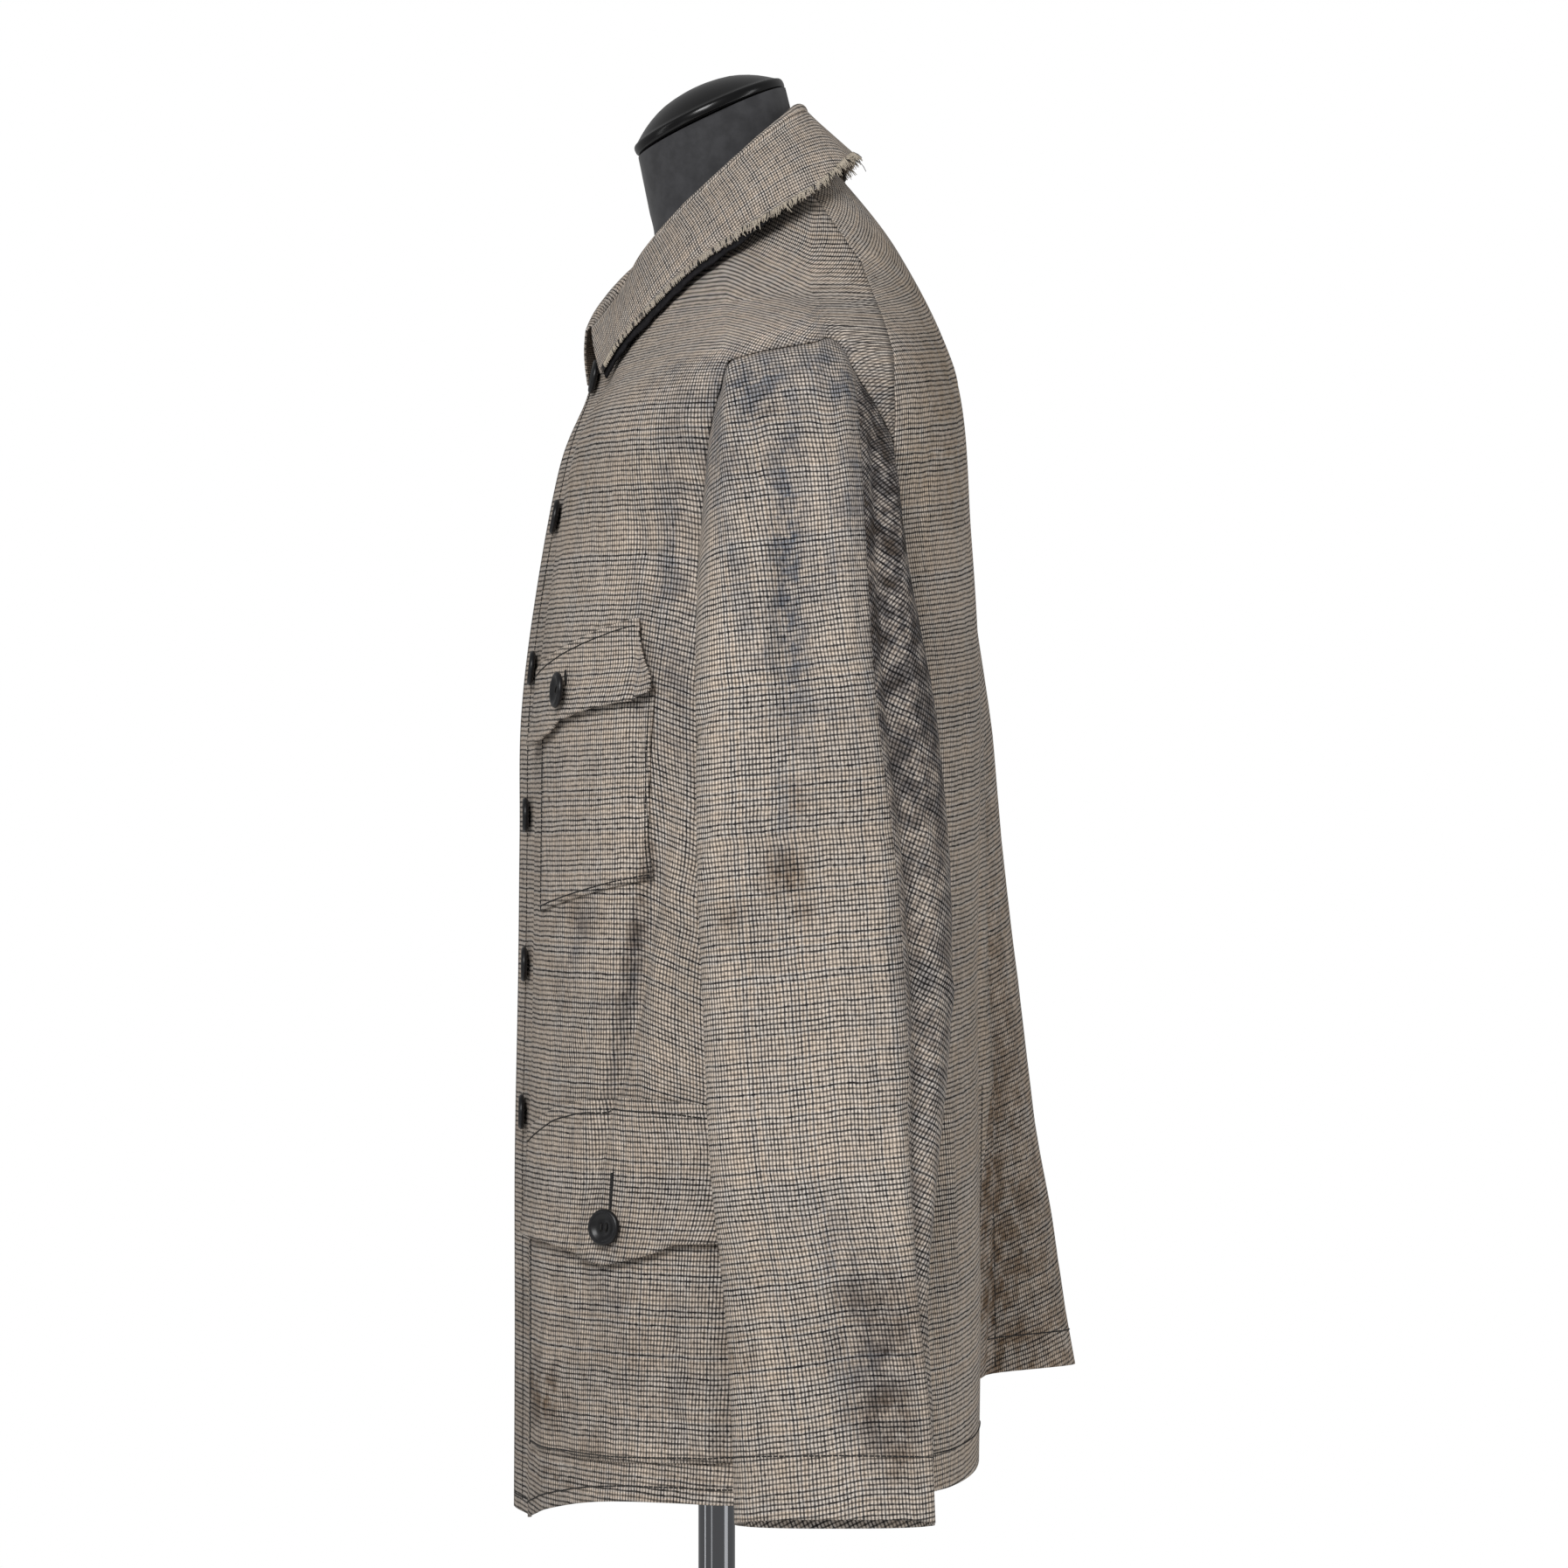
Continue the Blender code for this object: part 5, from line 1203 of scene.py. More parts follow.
def check_cloth(settings):
    """Worn linen and cotton check: dry and matt, with thick dark picks that catch no light."""
    finish, tree, shader = finish_named(CHECK)
    add, times, less = (partial(maths, tree, kind) for kind in ("ADD", "MULTIPLY", "SUBTRACT"))
    flat = node(tree, "ShaderNodeUVMap", {"uv_map": "Cloth"}).outputs[0]
    place = node(tree, "ShaderNodeTexCoord").outputs["Object"]
    # the threads wander by about a millimetre, rows and columns apart
    sway = noise(tree, flat, 48.0, 2.0)
    elsewhere = node(tree, "ShaderNodeMapping", Vector=flat, Location=(3.1, 1.7, 0.0)).outputs[0]
    drift = noise(tree, elsewhere, 60.0, 2.0)
    parts = node(tree, "ShaderNodeSeparateXYZ", Vector=flat)
    across = add(parts.outputs[0], maths(tree, "MULTIPLY_ADD", sway, 0.0016, -0.0008))
    upward = add(parts.outputs[1], maths(tree, "MULTIPLY_ADD", drift, 0.0018, -0.0009))
    row = maths(tree, "DIVIDE", upward, settings.row_pitch)
    column = maths(tree, "DIVIDE", across, settings.column_pitch)
    row_number = maths(tree, "FLOOR", add(row, 0.5))
    column_number = maths(tree, "FLOOR", add(column, 0.5))
    row_chance = node(tree, "ShaderNodeTexWhiteNoise", {"noise_dimensions": "1D"}, W=row_number)
    column_chance = node(tree, "ShaderNodeTexWhiteNoise", {"noise_dimensions": "1D"}, W=column_number)
    cell = node(tree, "ShaderNodeCombineXYZ", X=row_number, Y=column_number).outputs[0]
    cell_chance = node(tree, "ShaderNodeTexWhiteNoise", {"noise_dimensions": "3D"}, Vector=cell)
    # thick and thin places in the yarn
    swell = maths(tree, "MULTIPLY_ADD", noise(tree, place, 420.0, 1.0), 0.16, -0.08)
    row_line = add(maths(tree, "PINGPONG", row, 0.5), swell)
    row_line = ramp(tree, row_line, 0.13, 0.26, 1.0, 0.0)
    column_line = add(maths(tree, "PINGPONG", column, 0.5), swell)
    column_line = ramp(tree, column_line, 0.15, 0.29, 1.0, 0.0)
    row_depth = ramp(tree, row_chance.outputs[0], 0.0, 1.0, 0.74, 1.0, smooth=False)
    column_depth = ramp(tree, column_chance.outputs[0], 0.0, 1.0, 0.74, 0.98, smooth=False)
    dashed = ramp(tree, cell_chance.outputs[0], 0.0, 1.0, 0.76, 1.0, smooth=False)
    rows = times(row_line, times(row_depth, dashed))
    columns = times(times(column_line, column_depth), dashed)
    clear = times(less(1.0, rows), less(1.0, columns))
    yarn = less(1.0, clear)
    # thick slubs run along the rows, each some 15 mm long
    stretched = node(tree, "ShaderNodeMapping", Vector=flat, Scale=(60.0, 330.0, 1.0)).outputs[0]
    slub = ramp(tree, noise(tree, stretched, 1.0, 1.0), 0.66, 0.78, 0.0, 1.0)
    yarn = maths(tree, "MAXIMUM", yarn, times(slub, row_line))
    # some light yarns are warmer and some cooler
    tint = times(column_chance.outputs[0], 0.5)
    tint = maths(tree, "MULTIPLY_ADD", row_chance.outputs[0], 0.5, tint)
    tint = mixed(tree, tint, linear(WARM_YARN), linear(COOL_YARN))
    light = mixed(tree, 0.26, settings.light, tint)
    colour = mixed(tree, yarn, light, settings.dark)
    # broad fading, and the fibre's own grain
    cloudy = ramp(tree, noise(tree, place, 9.0, 4.0, 0.6), 0.30, 0.72, 0.88, 1.06)
    grain = ramp(tree, noise(tree, place, 900.0, 2.0, 0.7), 0.30, 0.70, 0.80, 1.16)
    colour = mixed(tree, 1.0, colour, times(cloudy, grain), "MULTIPLY")
    # stains and painted shade, broken up so that they have no soft round edges, and a few small dark specks
    soil = node(tree, "ShaderNodeAttribute", {"attribute_name": "Soil"}).outputs[0]
    kinds = node(tree, "ShaderNodeSeparateColor", Color=soil)
    broken = ramp(tree, noise(tree, place, 70.0, 7.0, 0.72), 0.38, 0.61, 0.22, 1.0)
    spots = node(tree, "ShaderNodeTexVoronoi", Vector=place, Scale=40.0)
    spot = ramp(tree, spots.outputs["Distance"], 0.05, 0.09, 0.65, 0.0)
    chance = node(tree, "ShaderNodeSeparateColor", Color=spots.outputs["Color"]).outputs[0]
    few = ramp(tree, chance, 0.84, 0.88)
    colour = mixed(tree, times(spot, few), colour, linear(SPECK))
    for kind, stain_and_shade, reach in ((0, settings.blue_stain_and_shade, 1.0), (1, settings.brown_stain_and_shade, 1.0),
                               (2, settings.yellow_stain, 0.9)):
        share = times(times(kinds.outputs[kind], broken), reach)
        colour = mixed(tree, share, colour, mixed(tree, 1.0, colour, stain_and_shade, "MULTIPLY"))
    tree.links.new(colour, shader.inputs["Base Color"])
    shader.inputs["Roughness"].default_value = 0.93
    shader.inputs["Specular IOR Level"].default_value = 0.18
    height = maths(tree, "MULTIPLY_ADD", yarn, 0.6, times(grain, 0.4))
    bump = node(tree, "ShaderNodeBump", Strength=0.6, Distance=settings.relief, Height=height)
    tree.links.new(bump.outputs[0], shader.inputs["Normal"])
    return finish


def plain(name, colour, rough, metal=0.0, coat=0.0, specular=0.5):
    """A finish of one colour."""
    finish, _, shader = finish_named(name)
    shader.inputs["Base Color"].default_value = colour
    shader.inputs["Roughness"].default_value = rough
    shader.inputs["Metallic"].default_value = metal
    shader.inputs["Coat Weight"].default_value = coat
    shader.inputs["Specular IOR Level"].default_value = specular
    return finish


def uneven(finish, low, high, scale, relief=0.0):
    """Varies a plain finish's colour and surface by noise of this scale."""
    tree = finish.node_tree
    shader = tree.nodes["Principled BSDF"]
    place = node(tree, "ShaderNodeTexCoord").outputs["Object"]
    cloud = noise(tree, place, scale, 4.0, 0.6)
    colour = tuple(shader.inputs["Base Color"].default_value)
    share = ramp(tree, cloud, 0.3, 0.7, low, high)
    tree.links.new(mixed(tree, 1.0, colour, share, "MULTIPLY"), shader.inputs["Base Color"])
    if relief:
        bump = node(tree, "ShaderNodeBump", Strength=0.5, Distance=relief, Height=cloud)
        tree.links.new(bump.outputs[0], shader.inputs["Normal"])
    return finish


def finishes(scene):
    """Every material of the jacket and the form, made once."""
    made = bpy.data.materials
    if CHECK in made:
        return made
    cloth_settings, trim, stand = scene.jacket_cloth, scene.jacket_trim, scene.jacket_stand
    check_cloth(cloth_settings)
    # black felt: dull and linty, so that the collar's underside reads as a dark line
    uneven(plain("black felt", cloth_settings.under_collar, 0.95, specular=0.15), 0.7, 1.6, 420.0, 0.0003)
    # polished horn: near black, with a soft highlight in the dish
    uneven(plain("dark horn", trim.button, 0.36, specular=0.35), 0.75, 1.35, 140.0)
    # waxed linen thread: dark and slightly shiny, a thin line on the matt cloth
    plain("dark thread", trim.thread, 0.75)
    # pale raw thread ends: the cloth's own undyed yarn
    plain("raw thread", trim.raw_thread, 0.9, specular=0.2)
    # charcoal jersey: soft, with a faint nap that lightens its turning edges
    jersey = uneven(plain("charcoal jersey", stand.form, 0.9, specular=0.25), 0.80, 1.20, 90.0, 0.0002)
    jersey.node_tree.nodes["Principled BSDF"].inputs["Sheen Weight"].default_value = 0.12
    # black lacquer: glossy, so that the cap's rim carries a bright line
    plain("black lacquer", stand.cap, 0.24, specular=0.35)
    # polished chrome: mirrors the room in upright stripes
    plain("polished chrome", stand.pole, 0.07, metal=1.0)
    # satin black powder coat on the base
    uneven(plain("satin black coating", stand.base, 0.42, specular=0.4), 0.92, 1.08, 900.0, 0.00004)
    return made


def panel_lines(cells, fine):
    """A panel's lengthwise lines: to the armhole line, and behind it."""
    ahead = np.linspace(0, cells[0], fine[0] + 1)
    behind = np.linspace(cells[0], sum(cells), fine[1] + 1)[1:]
    return np.concatenate((ahead, behind))


def panel_front(side, settings, made):
    """A front of the jacket, down to its hem, with the armhole cut out."""
    ring = levels_of(FINE_SPANS)
    column = panel_lines(FRONT_CELLS, FINE_FRONT)
    share = np.clip((column - FRONT_CELLS[0]) / FRONT_CELLS[1], 0, 1)[None, :]
    raised = np.where(ring >= CAP - NUDGE, np.clip((CAP_FADES - ring) / (CAP_FADES - CAP), 0, 1), 0)[:, None]
    at_ring = ring[:, None] + (cap_ring(share) - CAP) * raised * (share > 0)
    points = front_surface(side, column[None, :], at_ring, 0.0, SEAM_SHARE) + SHIFT
    uv = hung(lay_out(points, int(np.argmin(np.abs(ring - GRAIN_RING["front"]))), 0), points)
    gone = np.zeros(points.shape[:2], dtype=bool)
    level = (ring >= UNDERARM - NUDGE) & (ring < CAP - NUDGE)
    gone[level, FINE_FRONT[0]:] = True
    name = "front_" + WORD[side]
    return cloth("cloth_" + name, name, points, uv, soiled_and_shaded(points, side, "front"), settings, made, gone,
                 flip=side == RIGHT)


def hung(uv, points):
    """Cloth coordinates of a front, whose rows hang level but fall towards the sleeve."""
    y, z = points[..., 1] - SHIFT[1], points[..., 2]
    height = z[:, REFERENCE_LINE]
    level = z + SLOPE_SHARE * np.interp(z, height, uv[:, REFERENCE_LINE, 1] - height)
    fallen = [np.interp(y, *zip(*steps)) for _, steps in FALLING_ROWS]
    heights = [row[0] for row in FALLING_ROWS]
    share = np.interp(z, heights, np.arange(len(heights)))
    low = np.clip(share.astype(int), 0, len(heights) - 2)
    part = share - low
    stack = np.stack(fallen)
    below = np.take_along_axis(stack, low[None], axis=0)[0]
    above = np.take_along_axis(stack, low[None] + 1, axis=0)[0]
    return np.stack((uv[..., 0], level + below * (1 - part) + above * part), axis=-1)


def back_line(side, ring, column):
    """The angle of a back's lengthwise line: 0 at the centre seam, 8 at the armhole line, 10 at the side."""
    seam = edge_angle("side_seam_y", ring)
    armhole = edge_angle("back_armhole_y", ring)
    slack = np.interp(ring, *zip(*SLACK_ROWS)) * SEAM_SHARE
    lean = spline(BODY["n_back"], ring) / 2
    height = section(side, np.full_like(ring, math.pi), ring)[..., 2]
    apart = np.interp(height, (VENT_TOP - VENT_EASE, VENT_TOP), (SEAM_HALF_GAP, SEAM_CLOSED))
    middle = np.pi - np.arcsin((apart / spline(BODY["half_width"], ring)) ** lean)
    split = BACK_CELLS[0]
    ahead = middle + (armhole + slack - middle) * column / split
    behind = armhole + slack + (seam - armhole) * (column - split) / BACK_CELLS[1]
    return np.where(column <= split, ahead, behind)


def back_surface(side, column, ring, out=0.0):
    """A point of a back, by line and ring, moved out."""
    column, ring = np.broadcast_arrays(np.asarray(column, dtype=float), np.asarray(ring, dtype=float))
    return body(side, back_line(side, ring, column), ring, out + 1e-9)


def panel_back(side, settings, made):
    """A half of the back, from the centre seam to the side seam."""
    ring = levels_of(FINE_SPANS)
    points = back_surface(side, panel_lines(BACK_CELLS, FINE_BACK)[None, :], ring[:, None])
    extra = 0
    if side == RIGHT:
        points = np.concatenate((underlap(points[:, 0]), points), axis=1)
        extra = UNDERLAP_CELLS
    points = points + SHIFT
    level = int(np.argmin(np.abs(ring - GRAIN_RING["back"])))
    uv = lay_out(points, level, extra, BACK_GRAIN[WORD[side]])
    gone = np.zeros(points.shape[:2], dtype=bool)
    gone[ring >= UNDERARM - NUDGE, FINE_BACK[0] + extra:] = True
    gone[points[:, extra, 2] > VENT_TOP, :extra] = True
    name = "back_" + WORD[side]
    return cloth("cloth_" + name, name, points, uv, soiled_and_shaded(points, side, "back"), settings, made, gone,
                 flip=side == LEFT)


def underlap(edge):
    """The part of the right back that lies below the left one at the vent."""
    z = edge[:, 2]
    ring = ring_at(LEFT, np.full_like(z, math.pi), z)
    lean = spline(BODY["n_back"], ring) / 2
    phi = np.pi - np.arcsin((UNDERLAP_X / spline(BODY["half_width"], ring)) ** lean)
    ring = ring_at(LEFT, phi, z)
    far = body(LEFT, phi, ring, -UNDERLAP_INSET)
    share = np.linspace(1, 0, UNDERLAP_CELLS + 1)[:-1]
    return edge[:, None] + (far - edge)[:, None] * share[None, :, None]


def sleeve_part(side, upper, settings, made):
    """The top sleeve or the undersleeve."""
    row = levels_of(FINE_SLEEVE_SPANS)
    seam = hindarm(row)
    fore = np.full_like(row, FOREARM_SEAM)
    psi = spaced(fore, seam, FINE_TOP) if upper else spaced(seam, fore + 360, FINE_UNDER)
    points = sleeve(side, psi, np.broadcast_to(row[:, None], psi.shape))
    turned_in = [armhole_path(side, psi[0], spread, out) for spread, out in ALLOWANCE]
    points = np.concatenate((np.stack(turned_in), points)) + SHIFT
    uv = lay_out(points, FINE_SLEEVE_SPANS[0][2] + len(ALLOWANCE), psi.shape[1] // 2, 0.0, True)
    if upper:
        uv[..., 1] -= TOP_SLEEVE_SLANT * uv[..., 0] * side
    else:
        uv = turned_cloth(uv, UNDERSLEEVE_GRAIN * side)
    name = ("cloth_top_sleeve_" if upper else "cloth_undersleeve_") + WORD[side]
    stands_for = "sleeve_%s_%s" % (WORD[side], "top" if upper else "under")
    soil = soiled_and_shaded(points, side, "plain" if upper else "undersleeve")
    return cloth(name, stands_for, points, uv, soil, settings, made, flip=side == LEFT)


def collar_grid():
    """Positions along the collar, from the left front end to the right one."""
    return np.linspace(-8, 8, COLLAR_FINE + 1)


def collar_piece(settings, made):
    """The collar: stand, fold and fall, with a ragged outer edge."""
    along = collar_grid()
    points = collar_points(along) + SHIFT
    worn = np.interp(np.abs(along), *zip(*COLLAR_RAGGED))
    ragged = worn * (unevenness(along, 0.06, 3) + 0.6 * unevenness(along, 0.25, 4))
    down = unit(points[-1] - points[-4])
    # the last rows of the fall share the raggedness
    for k, share in ((-1, 1.0), (-2, 0.55), (-3, 0.2)):
        points[k] += down * (ragged * share)[:, None]
    uv = lay_out(points, 0, len(along) // 2)
    uv[..., 1] = -uv[..., 1]
    uv = turned_cloth(uv, COLLAR_GRAIN)
    return cloth("cloth_collar", "collar", points, uv, soiled_and_shaded(points, LEFT, "collar"), settings, made)


def under_collar_piece(settings, made):
    """The black felt that shows below the fall. It stops short of the right front end."""
    along = collar_grid()[:-FELT_SHORT]
    points = under_collar_points(along) + SHIFT
    edge = unit(points[-1] - points[-3])
    points[-1] += edge * (0.0011 * unevenness(along, 0.30, 9) + 0.0007 * unevenness(along, 0.09, 10))[:, None]
    uv = lay_out(points, 0, COLLAR_FINE // 2)
    return cloth("felt_under_collar", "under_collar", points, uv, soiled_and_shaded(points, LEFT), settings, made,
                 finish="black felt", slot="under_collar_cloth")


def pocket_piece(kind, side, settings, made):
    """A patch pocket or a flap on a front."""
    wide, high = POCKET_FINE[kind]
    share = np.linspace(0, 1, wide + 1)
    climb = np.linspace(1, 0, high + 1)
    ragged = 0.0
    if kind == "chest_flap":
        near = np.clip(1 - np.abs(share - TORN_AT) / TORN_REACH, 0, 1)
        ragged = TORN * near * (0.55 + 0.45 * unevenness(share, 0.022, 12 + side))
    spread = np.broadcast_to(share[None, :], (high + 1, wide + 1))
    rise = np.broadcast_to(climb[:, None], (high + 1, wide + 1))
    rise = rise + (1 - rise) ** 3 * ragged
    points = patch(kind, side, spread, rise) + SHIFT
    name = "%s_%s" % (kind, WORD[side])
    uv = lay_out(points, 0, falling=True)
    return cloth("cloth_" + name, name, points, uv, soiled_and_shaded(points, side, "front"), settings, made,
                 flip=side == LEFT)


def pocket_stitches(kind, side):
    """The stitch lines of a pocket or flap: down it, or across it near its upper or lower edge."""
    climb = np.linspace(0.985, 0.0, 40)
    share = np.linspace(0, 1, 60)
    paths = []
    for way, at in POCKET_SEAMS[kind]:
        if way == "down":
            paths.append(patch(kind, side, np.full_like(climb, at), climb, ABOVE))
            continue
        top = patch(kind, side, share, np.ones_like(share))
        low = patch(kind, side, share, np.zeros_like(share))
        high = np.linalg.norm(top - low, axis=1)
        from_low = 1 - at / high if at > 0 else -at / high
        paths.append(patch(kind, side, share * 0.97 + 0.015, from_low, ABOVE))
    return paths


def thread_paths():
    """The seams' and hems' stitch lines, by name."""
    paths = {}
    for side, word in SIDES:
        column = np.linspace(0.12, sum(FRONT_CELLS) - 0.1, 160)
        hem = front_surface(side, column, np.zeros_like(column))[:, 2]
        front = [front_surface(side, column, front_ring_at(side, column, hem + FRONT_HEM), ABOVE)]
        ring = np.linspace(0.12, 8.9, 220)
        front.append(front_surface(side, np.full_like(ring, EDGE_STITCH), ring, ABOVE))
        for kind in POCKET_SEAMS:
            front += pocket_stitches(kind, side)
        column = np.linspace(0.15, sum(BACK_CELLS) - 0.1, 110)
        ring = np.zeros_like(column)
        hem = back_surface(side, column, ring)[:, 2]
        ring = ring_at(side, back_line(side, ring, column), hem + BACK_HEM)
        back = [back_surface(side, column, ring, ABOVE)]
        ring = np.linspace(0.1, VENT_STITCH_TOP, 60)
        back.append(back_surface(side, np.full_like(ring, VENT_STITCH), ring, ABOVE))
        psi = np.linspace(0, 360, 150)
        cuff = [sleeve_surface(side, psi, np.full_like(psi, CUFF_ROW), ABOVE)]
        for name, rows in (("front", front), ("back", back), ("cuff", cuff)):
            paths["stitches_%s_%s" % (name, word)] = [path + SHIFT for path in rows]
    return paths


def buttonhole(side, kind):
    """A worked buttonhole's zigzag on a pocket flap, above the button."""
    middle = share_of(kind + "_flap", FLAP_BUTTONS[kind][0])
    low, high, half = BUTTONHOLES[kind]
    climb = np.linspace(low, high, BUTTONHOLE_TURNS)
    share = middle + half * np.where(np.arange(len(climb)) % 2 == 0, -1.0, 1.0)
    return patch(kind + "_flap", side, share, climb, ABOVE) + SHIFT


def bent_thread(build, points, radii):
    """A thread in straight bits through some points, with its radius at each."""
    for a, b, thick, thin in zip(points, points[1:], radii, radii[1:]):
        thread_between(build, a, b, thick, thin, 4)


def fringe(builds, along, points, chance):
    """Short raw yarns along the collar's edge: even stripes at the front, a ragged fringe at the back."""
    down = unit(points[-1] - points[-4])
    beside = unit(np.gradient(points[-1], axis=0))
    out = np.cross(beside, down)
    out *= np.sign(out[:, 2:3]) + (out[:, 2:3] == 0)
    length = travelled(points[-1])
    at = FRAY_MARGIN
    while at < length[-1] - FRAY_MARGIN:
        here, below, sideways, outward = (followed(at, length, values)
                                          for values in (points[-1], down, beside, out))
        back = float(np.interp(abs(np.interp(at, length, along)), *zip(*FRINGE)))
        lean = chance.uniform(-0.9, 0.9) * (0.25 + back)
        way = unit(below + sideways * lean + outward * chance.uniform(-0.1, 0.5) * (0.3 + back))
        clump = 0.25 + abs(math.sin(at * 420 + 2 * math.sin(at * 170)))
        reach = YARN_REACH[0] + chance.random() ** 1.5 * (YARN_REACH[1] + YARN_REACH[2] * back * clump)
        inside = YARN_INSIDE[0] + YARN_INSIDE[1] * chance.random()
        start = here - below * inside + outward * YARN_ABOVE
        kind = "dark" if chance.random() < DARK_YARNS[0] - DARK_YARNS[1] * back else "pale"
        end = here + way * reach
        middle = (start + end) / 2 + outward * YARN_ARCH
        bent_thread(builds[kind], (start, middle), YARN_ROOT)
        bent_thread(builds[kind], (middle, end), YARN_TIP)
        at += FRAY_PITCH * chance.uniform(0.6, 1.5) / (1 + 0.5 * back)


def tufted(builds, spot, chance):
    """A tuft of raw yarn at the collar's back corner, and one loose thread."""
    for _ in range(TUFT_THREADS):
        way = np.array((chance.uniform(-0.5, 0.5), chance.uniform(0.1, 1.0), chance.uniform(-0.2, 1.0)))
        start = spot + np.array((chance.uniform(-1, 1), chance.uniform(-1, 1), 0)) * TUFT_ROOT
        middle = start + way * chance.uniform(0.0015, 0.0045)
        end = middle + np.array((0, chance.uniform(-0.3, 1.0), chance.uniform(-0.7, 0.8))) * 0.003
        bent_thread(builds["pale"], (start, middle, end), TUFT_RADII)
    loose = np.array(LOOSE_THREAD) + spot
    for pair in zip(loose, loose[1:]):
        bent_thread(builds["dark"], pair, LOOSE_RADII)


def frayed(made):
    """The collar's raw edge: pale and dark yarns, each kind as one piece."""
    chance = random.Random(21)
    along = collar_grid()
    points = collar_points(along) + SHIFT
    builds = {"pale": bmesh.new(), "dark": bmesh.new()}
    fringe(builds, along, points, chance)
    tufted(builds, points[-1][np.argmin(np.abs(along + TUFT_AT))], chance)
    for kind, finish in (("pale", "raw thread"), ("dark", "dark thread")):
        ready("fray_collar_" + kind, mesh_of(builds[kind], "fray_" + kind, made[finish]), "check_cloth")


def stitching(settings, made):
    """Every row of stitches."""
    thread = made["dark thread"]
    for side, word in SIDES:
        holes = [buttonhole(side, kind) for kind in BUTTONHOLES]
        sewn("buttonholes_" + word, holes, thread, BUTTONHOLE_PITCH, 1.0, BUTTONHOLE_THREAD)
    for name, paths in thread_paths().items():
        sewn(name, paths, thread, settings.stitch_pitch, thick=settings.thread_radius)


def hole_places():
    """Where a button's four holes are, about its middle."""
    angles = [math.radians(45 + 90 * k) for k in range(4)]
    return [(HOLE_REACH * math.cos(angle), HOLE_REACH * math.sin(angle)) for angle in angles]


def button_shape(settings, finish):
    """A dished button with four holes, at the origin with its back down."""
    scale = settings.button_size / (2 * BUTTON_RADIUS)
    build = spun([(radius * scale, height) for radius, height in BUTTON_FINE], 48)
    whole = bpy.data.objects.new("button blank", mesh_of(build, "button", smooth=False))
    build = bmesh.new()
    for x, y in hole_places():
        bmesh.ops.create_cone(build, cap_ends=True, segments=14, radius1=HOLE_RADIUS, radius2=HOLE_RADIUS,
                              depth=0.012, matrix=Matrix.Translation((x, y, 0.002)))
    cutter = bpy.data.objects.new("button holes", mesh_of(build, "holes", smooth=False))
    for thing in (whole, cutter):
        bpy.context.scene.collection.objects.link(thing)
    cut = whole.modifiers.new("Holes", "BOOLEAN")
    cut.operation = "DIFFERENCE"
    cut.object = cutter
    graph = bpy.context.evaluated_depsgraph_get()
    shape = bpy.data.meshes.new_from_object(whole.evaluated_get(graph))
    for thing in (whole, cutter):
        bpy.data.objects.remove(thing, do_unlink=True)
    shape.shade_smooth()
    shape.set_sharp_from_angle(angle=math.radians(50))
    shape.materials.clear()
    shape.materials.append(finish)
    return shape


def button_place(side, phi, z, out, swing):
    """A button's frame on the cloth: its axis is the cloth's normal."""
    at = np.array([phi]), np.array([z])
    ring = ring_at(side, *at)
    low = body(side, at[0], ring, np.array([out]))[0]
    high = body(side, at[0], ring, np.array([out + 0.01]))[0]
    normal = unit(high - low)
    beside = unit(np.cross(UP, normal))
    place = np.identity(4)
    place[:3, :] = np.stack((beside, np.cross(normal, beside), normal, low + SHIFT), axis=1)
    return Matrix(place.tolist()) @ Matrix.Rotation(math.radians(swing) * side, 4, "Y")


def button_places():
    """Every button's node and frame."""
    places = []
    stand = CLOTH / 2 + BUTTON_STANDOFF
    phi = float(angle_of_x(np.array(3.0), np.array(FRONT_BUTTON_X)))
    for number, z in enumerate(FRONT_BUTTON_Z, 1):
        places.append(("front_button_%d" % number, button_place(LEFT, phi, z, stand, FRONT_SWING)))
    for side, word in SIDES:
        for kind, (angle, z, out) in FLAP_BUTTONS.items():
            z = z + (RIGHT_LIFT[kind] if side == RIGHT else 0.0)
            place = button_place(side, math.radians(angle), z, out + stand, FLAP_SWING[kind])
            places.append(("%s_button_%s" % (kind, word), place))
    return places


def button_thread(name, turn, finish):
    """The thread that holds a button: two bars on its face and four legs down to the cloth."""
    build = bmesh.new()
    reach = HOLE_REACH * math.cos(math.radians(45))
    for x in (-reach, reach):
        for k in range(3):
            beside, high = x + (k - 1) * BAR_APART, BAR_HEIGHT + BAR_RISE * k
            a, b = (turn @ Vector((beside, y, high)) for y in (-reach - BAR_RISE, reach + BAR_RISE))
            thread_between(build, a, b, BAR_RADIUS, BAR_RADIUS)
    for x, y in hole_places():
        a, b = turn @ Vector((x, y, 0.0021)), turn @ Vector((x * 0.6, y * 0.6, -0.0020))
        thread_between(build, a, b, LEG_RADIUS, LEG_RADIUS)
    ready("thread_" + name, mesh_of(build, name + " thread", finish), "button")


def make_buttons(settings, made):
    """The buttons, each turned a little and tied on."""
    shape = button_shape(settings, made["dark horn"])
    chance = random.Random(7)
    for name, place in button_places():
        turn = place @ Matrix.Rotation(chance.uniform(-0.5, 0.5), 4, "Z")
        mesh = shape.copy()
        mesh.name = name
        mesh.transform(turn)
        ready("horn_" + name, mesh, "button", name)
        button_thread(name, turn, made["dark thread"])
    bpy.data.meshes.remove(shape)


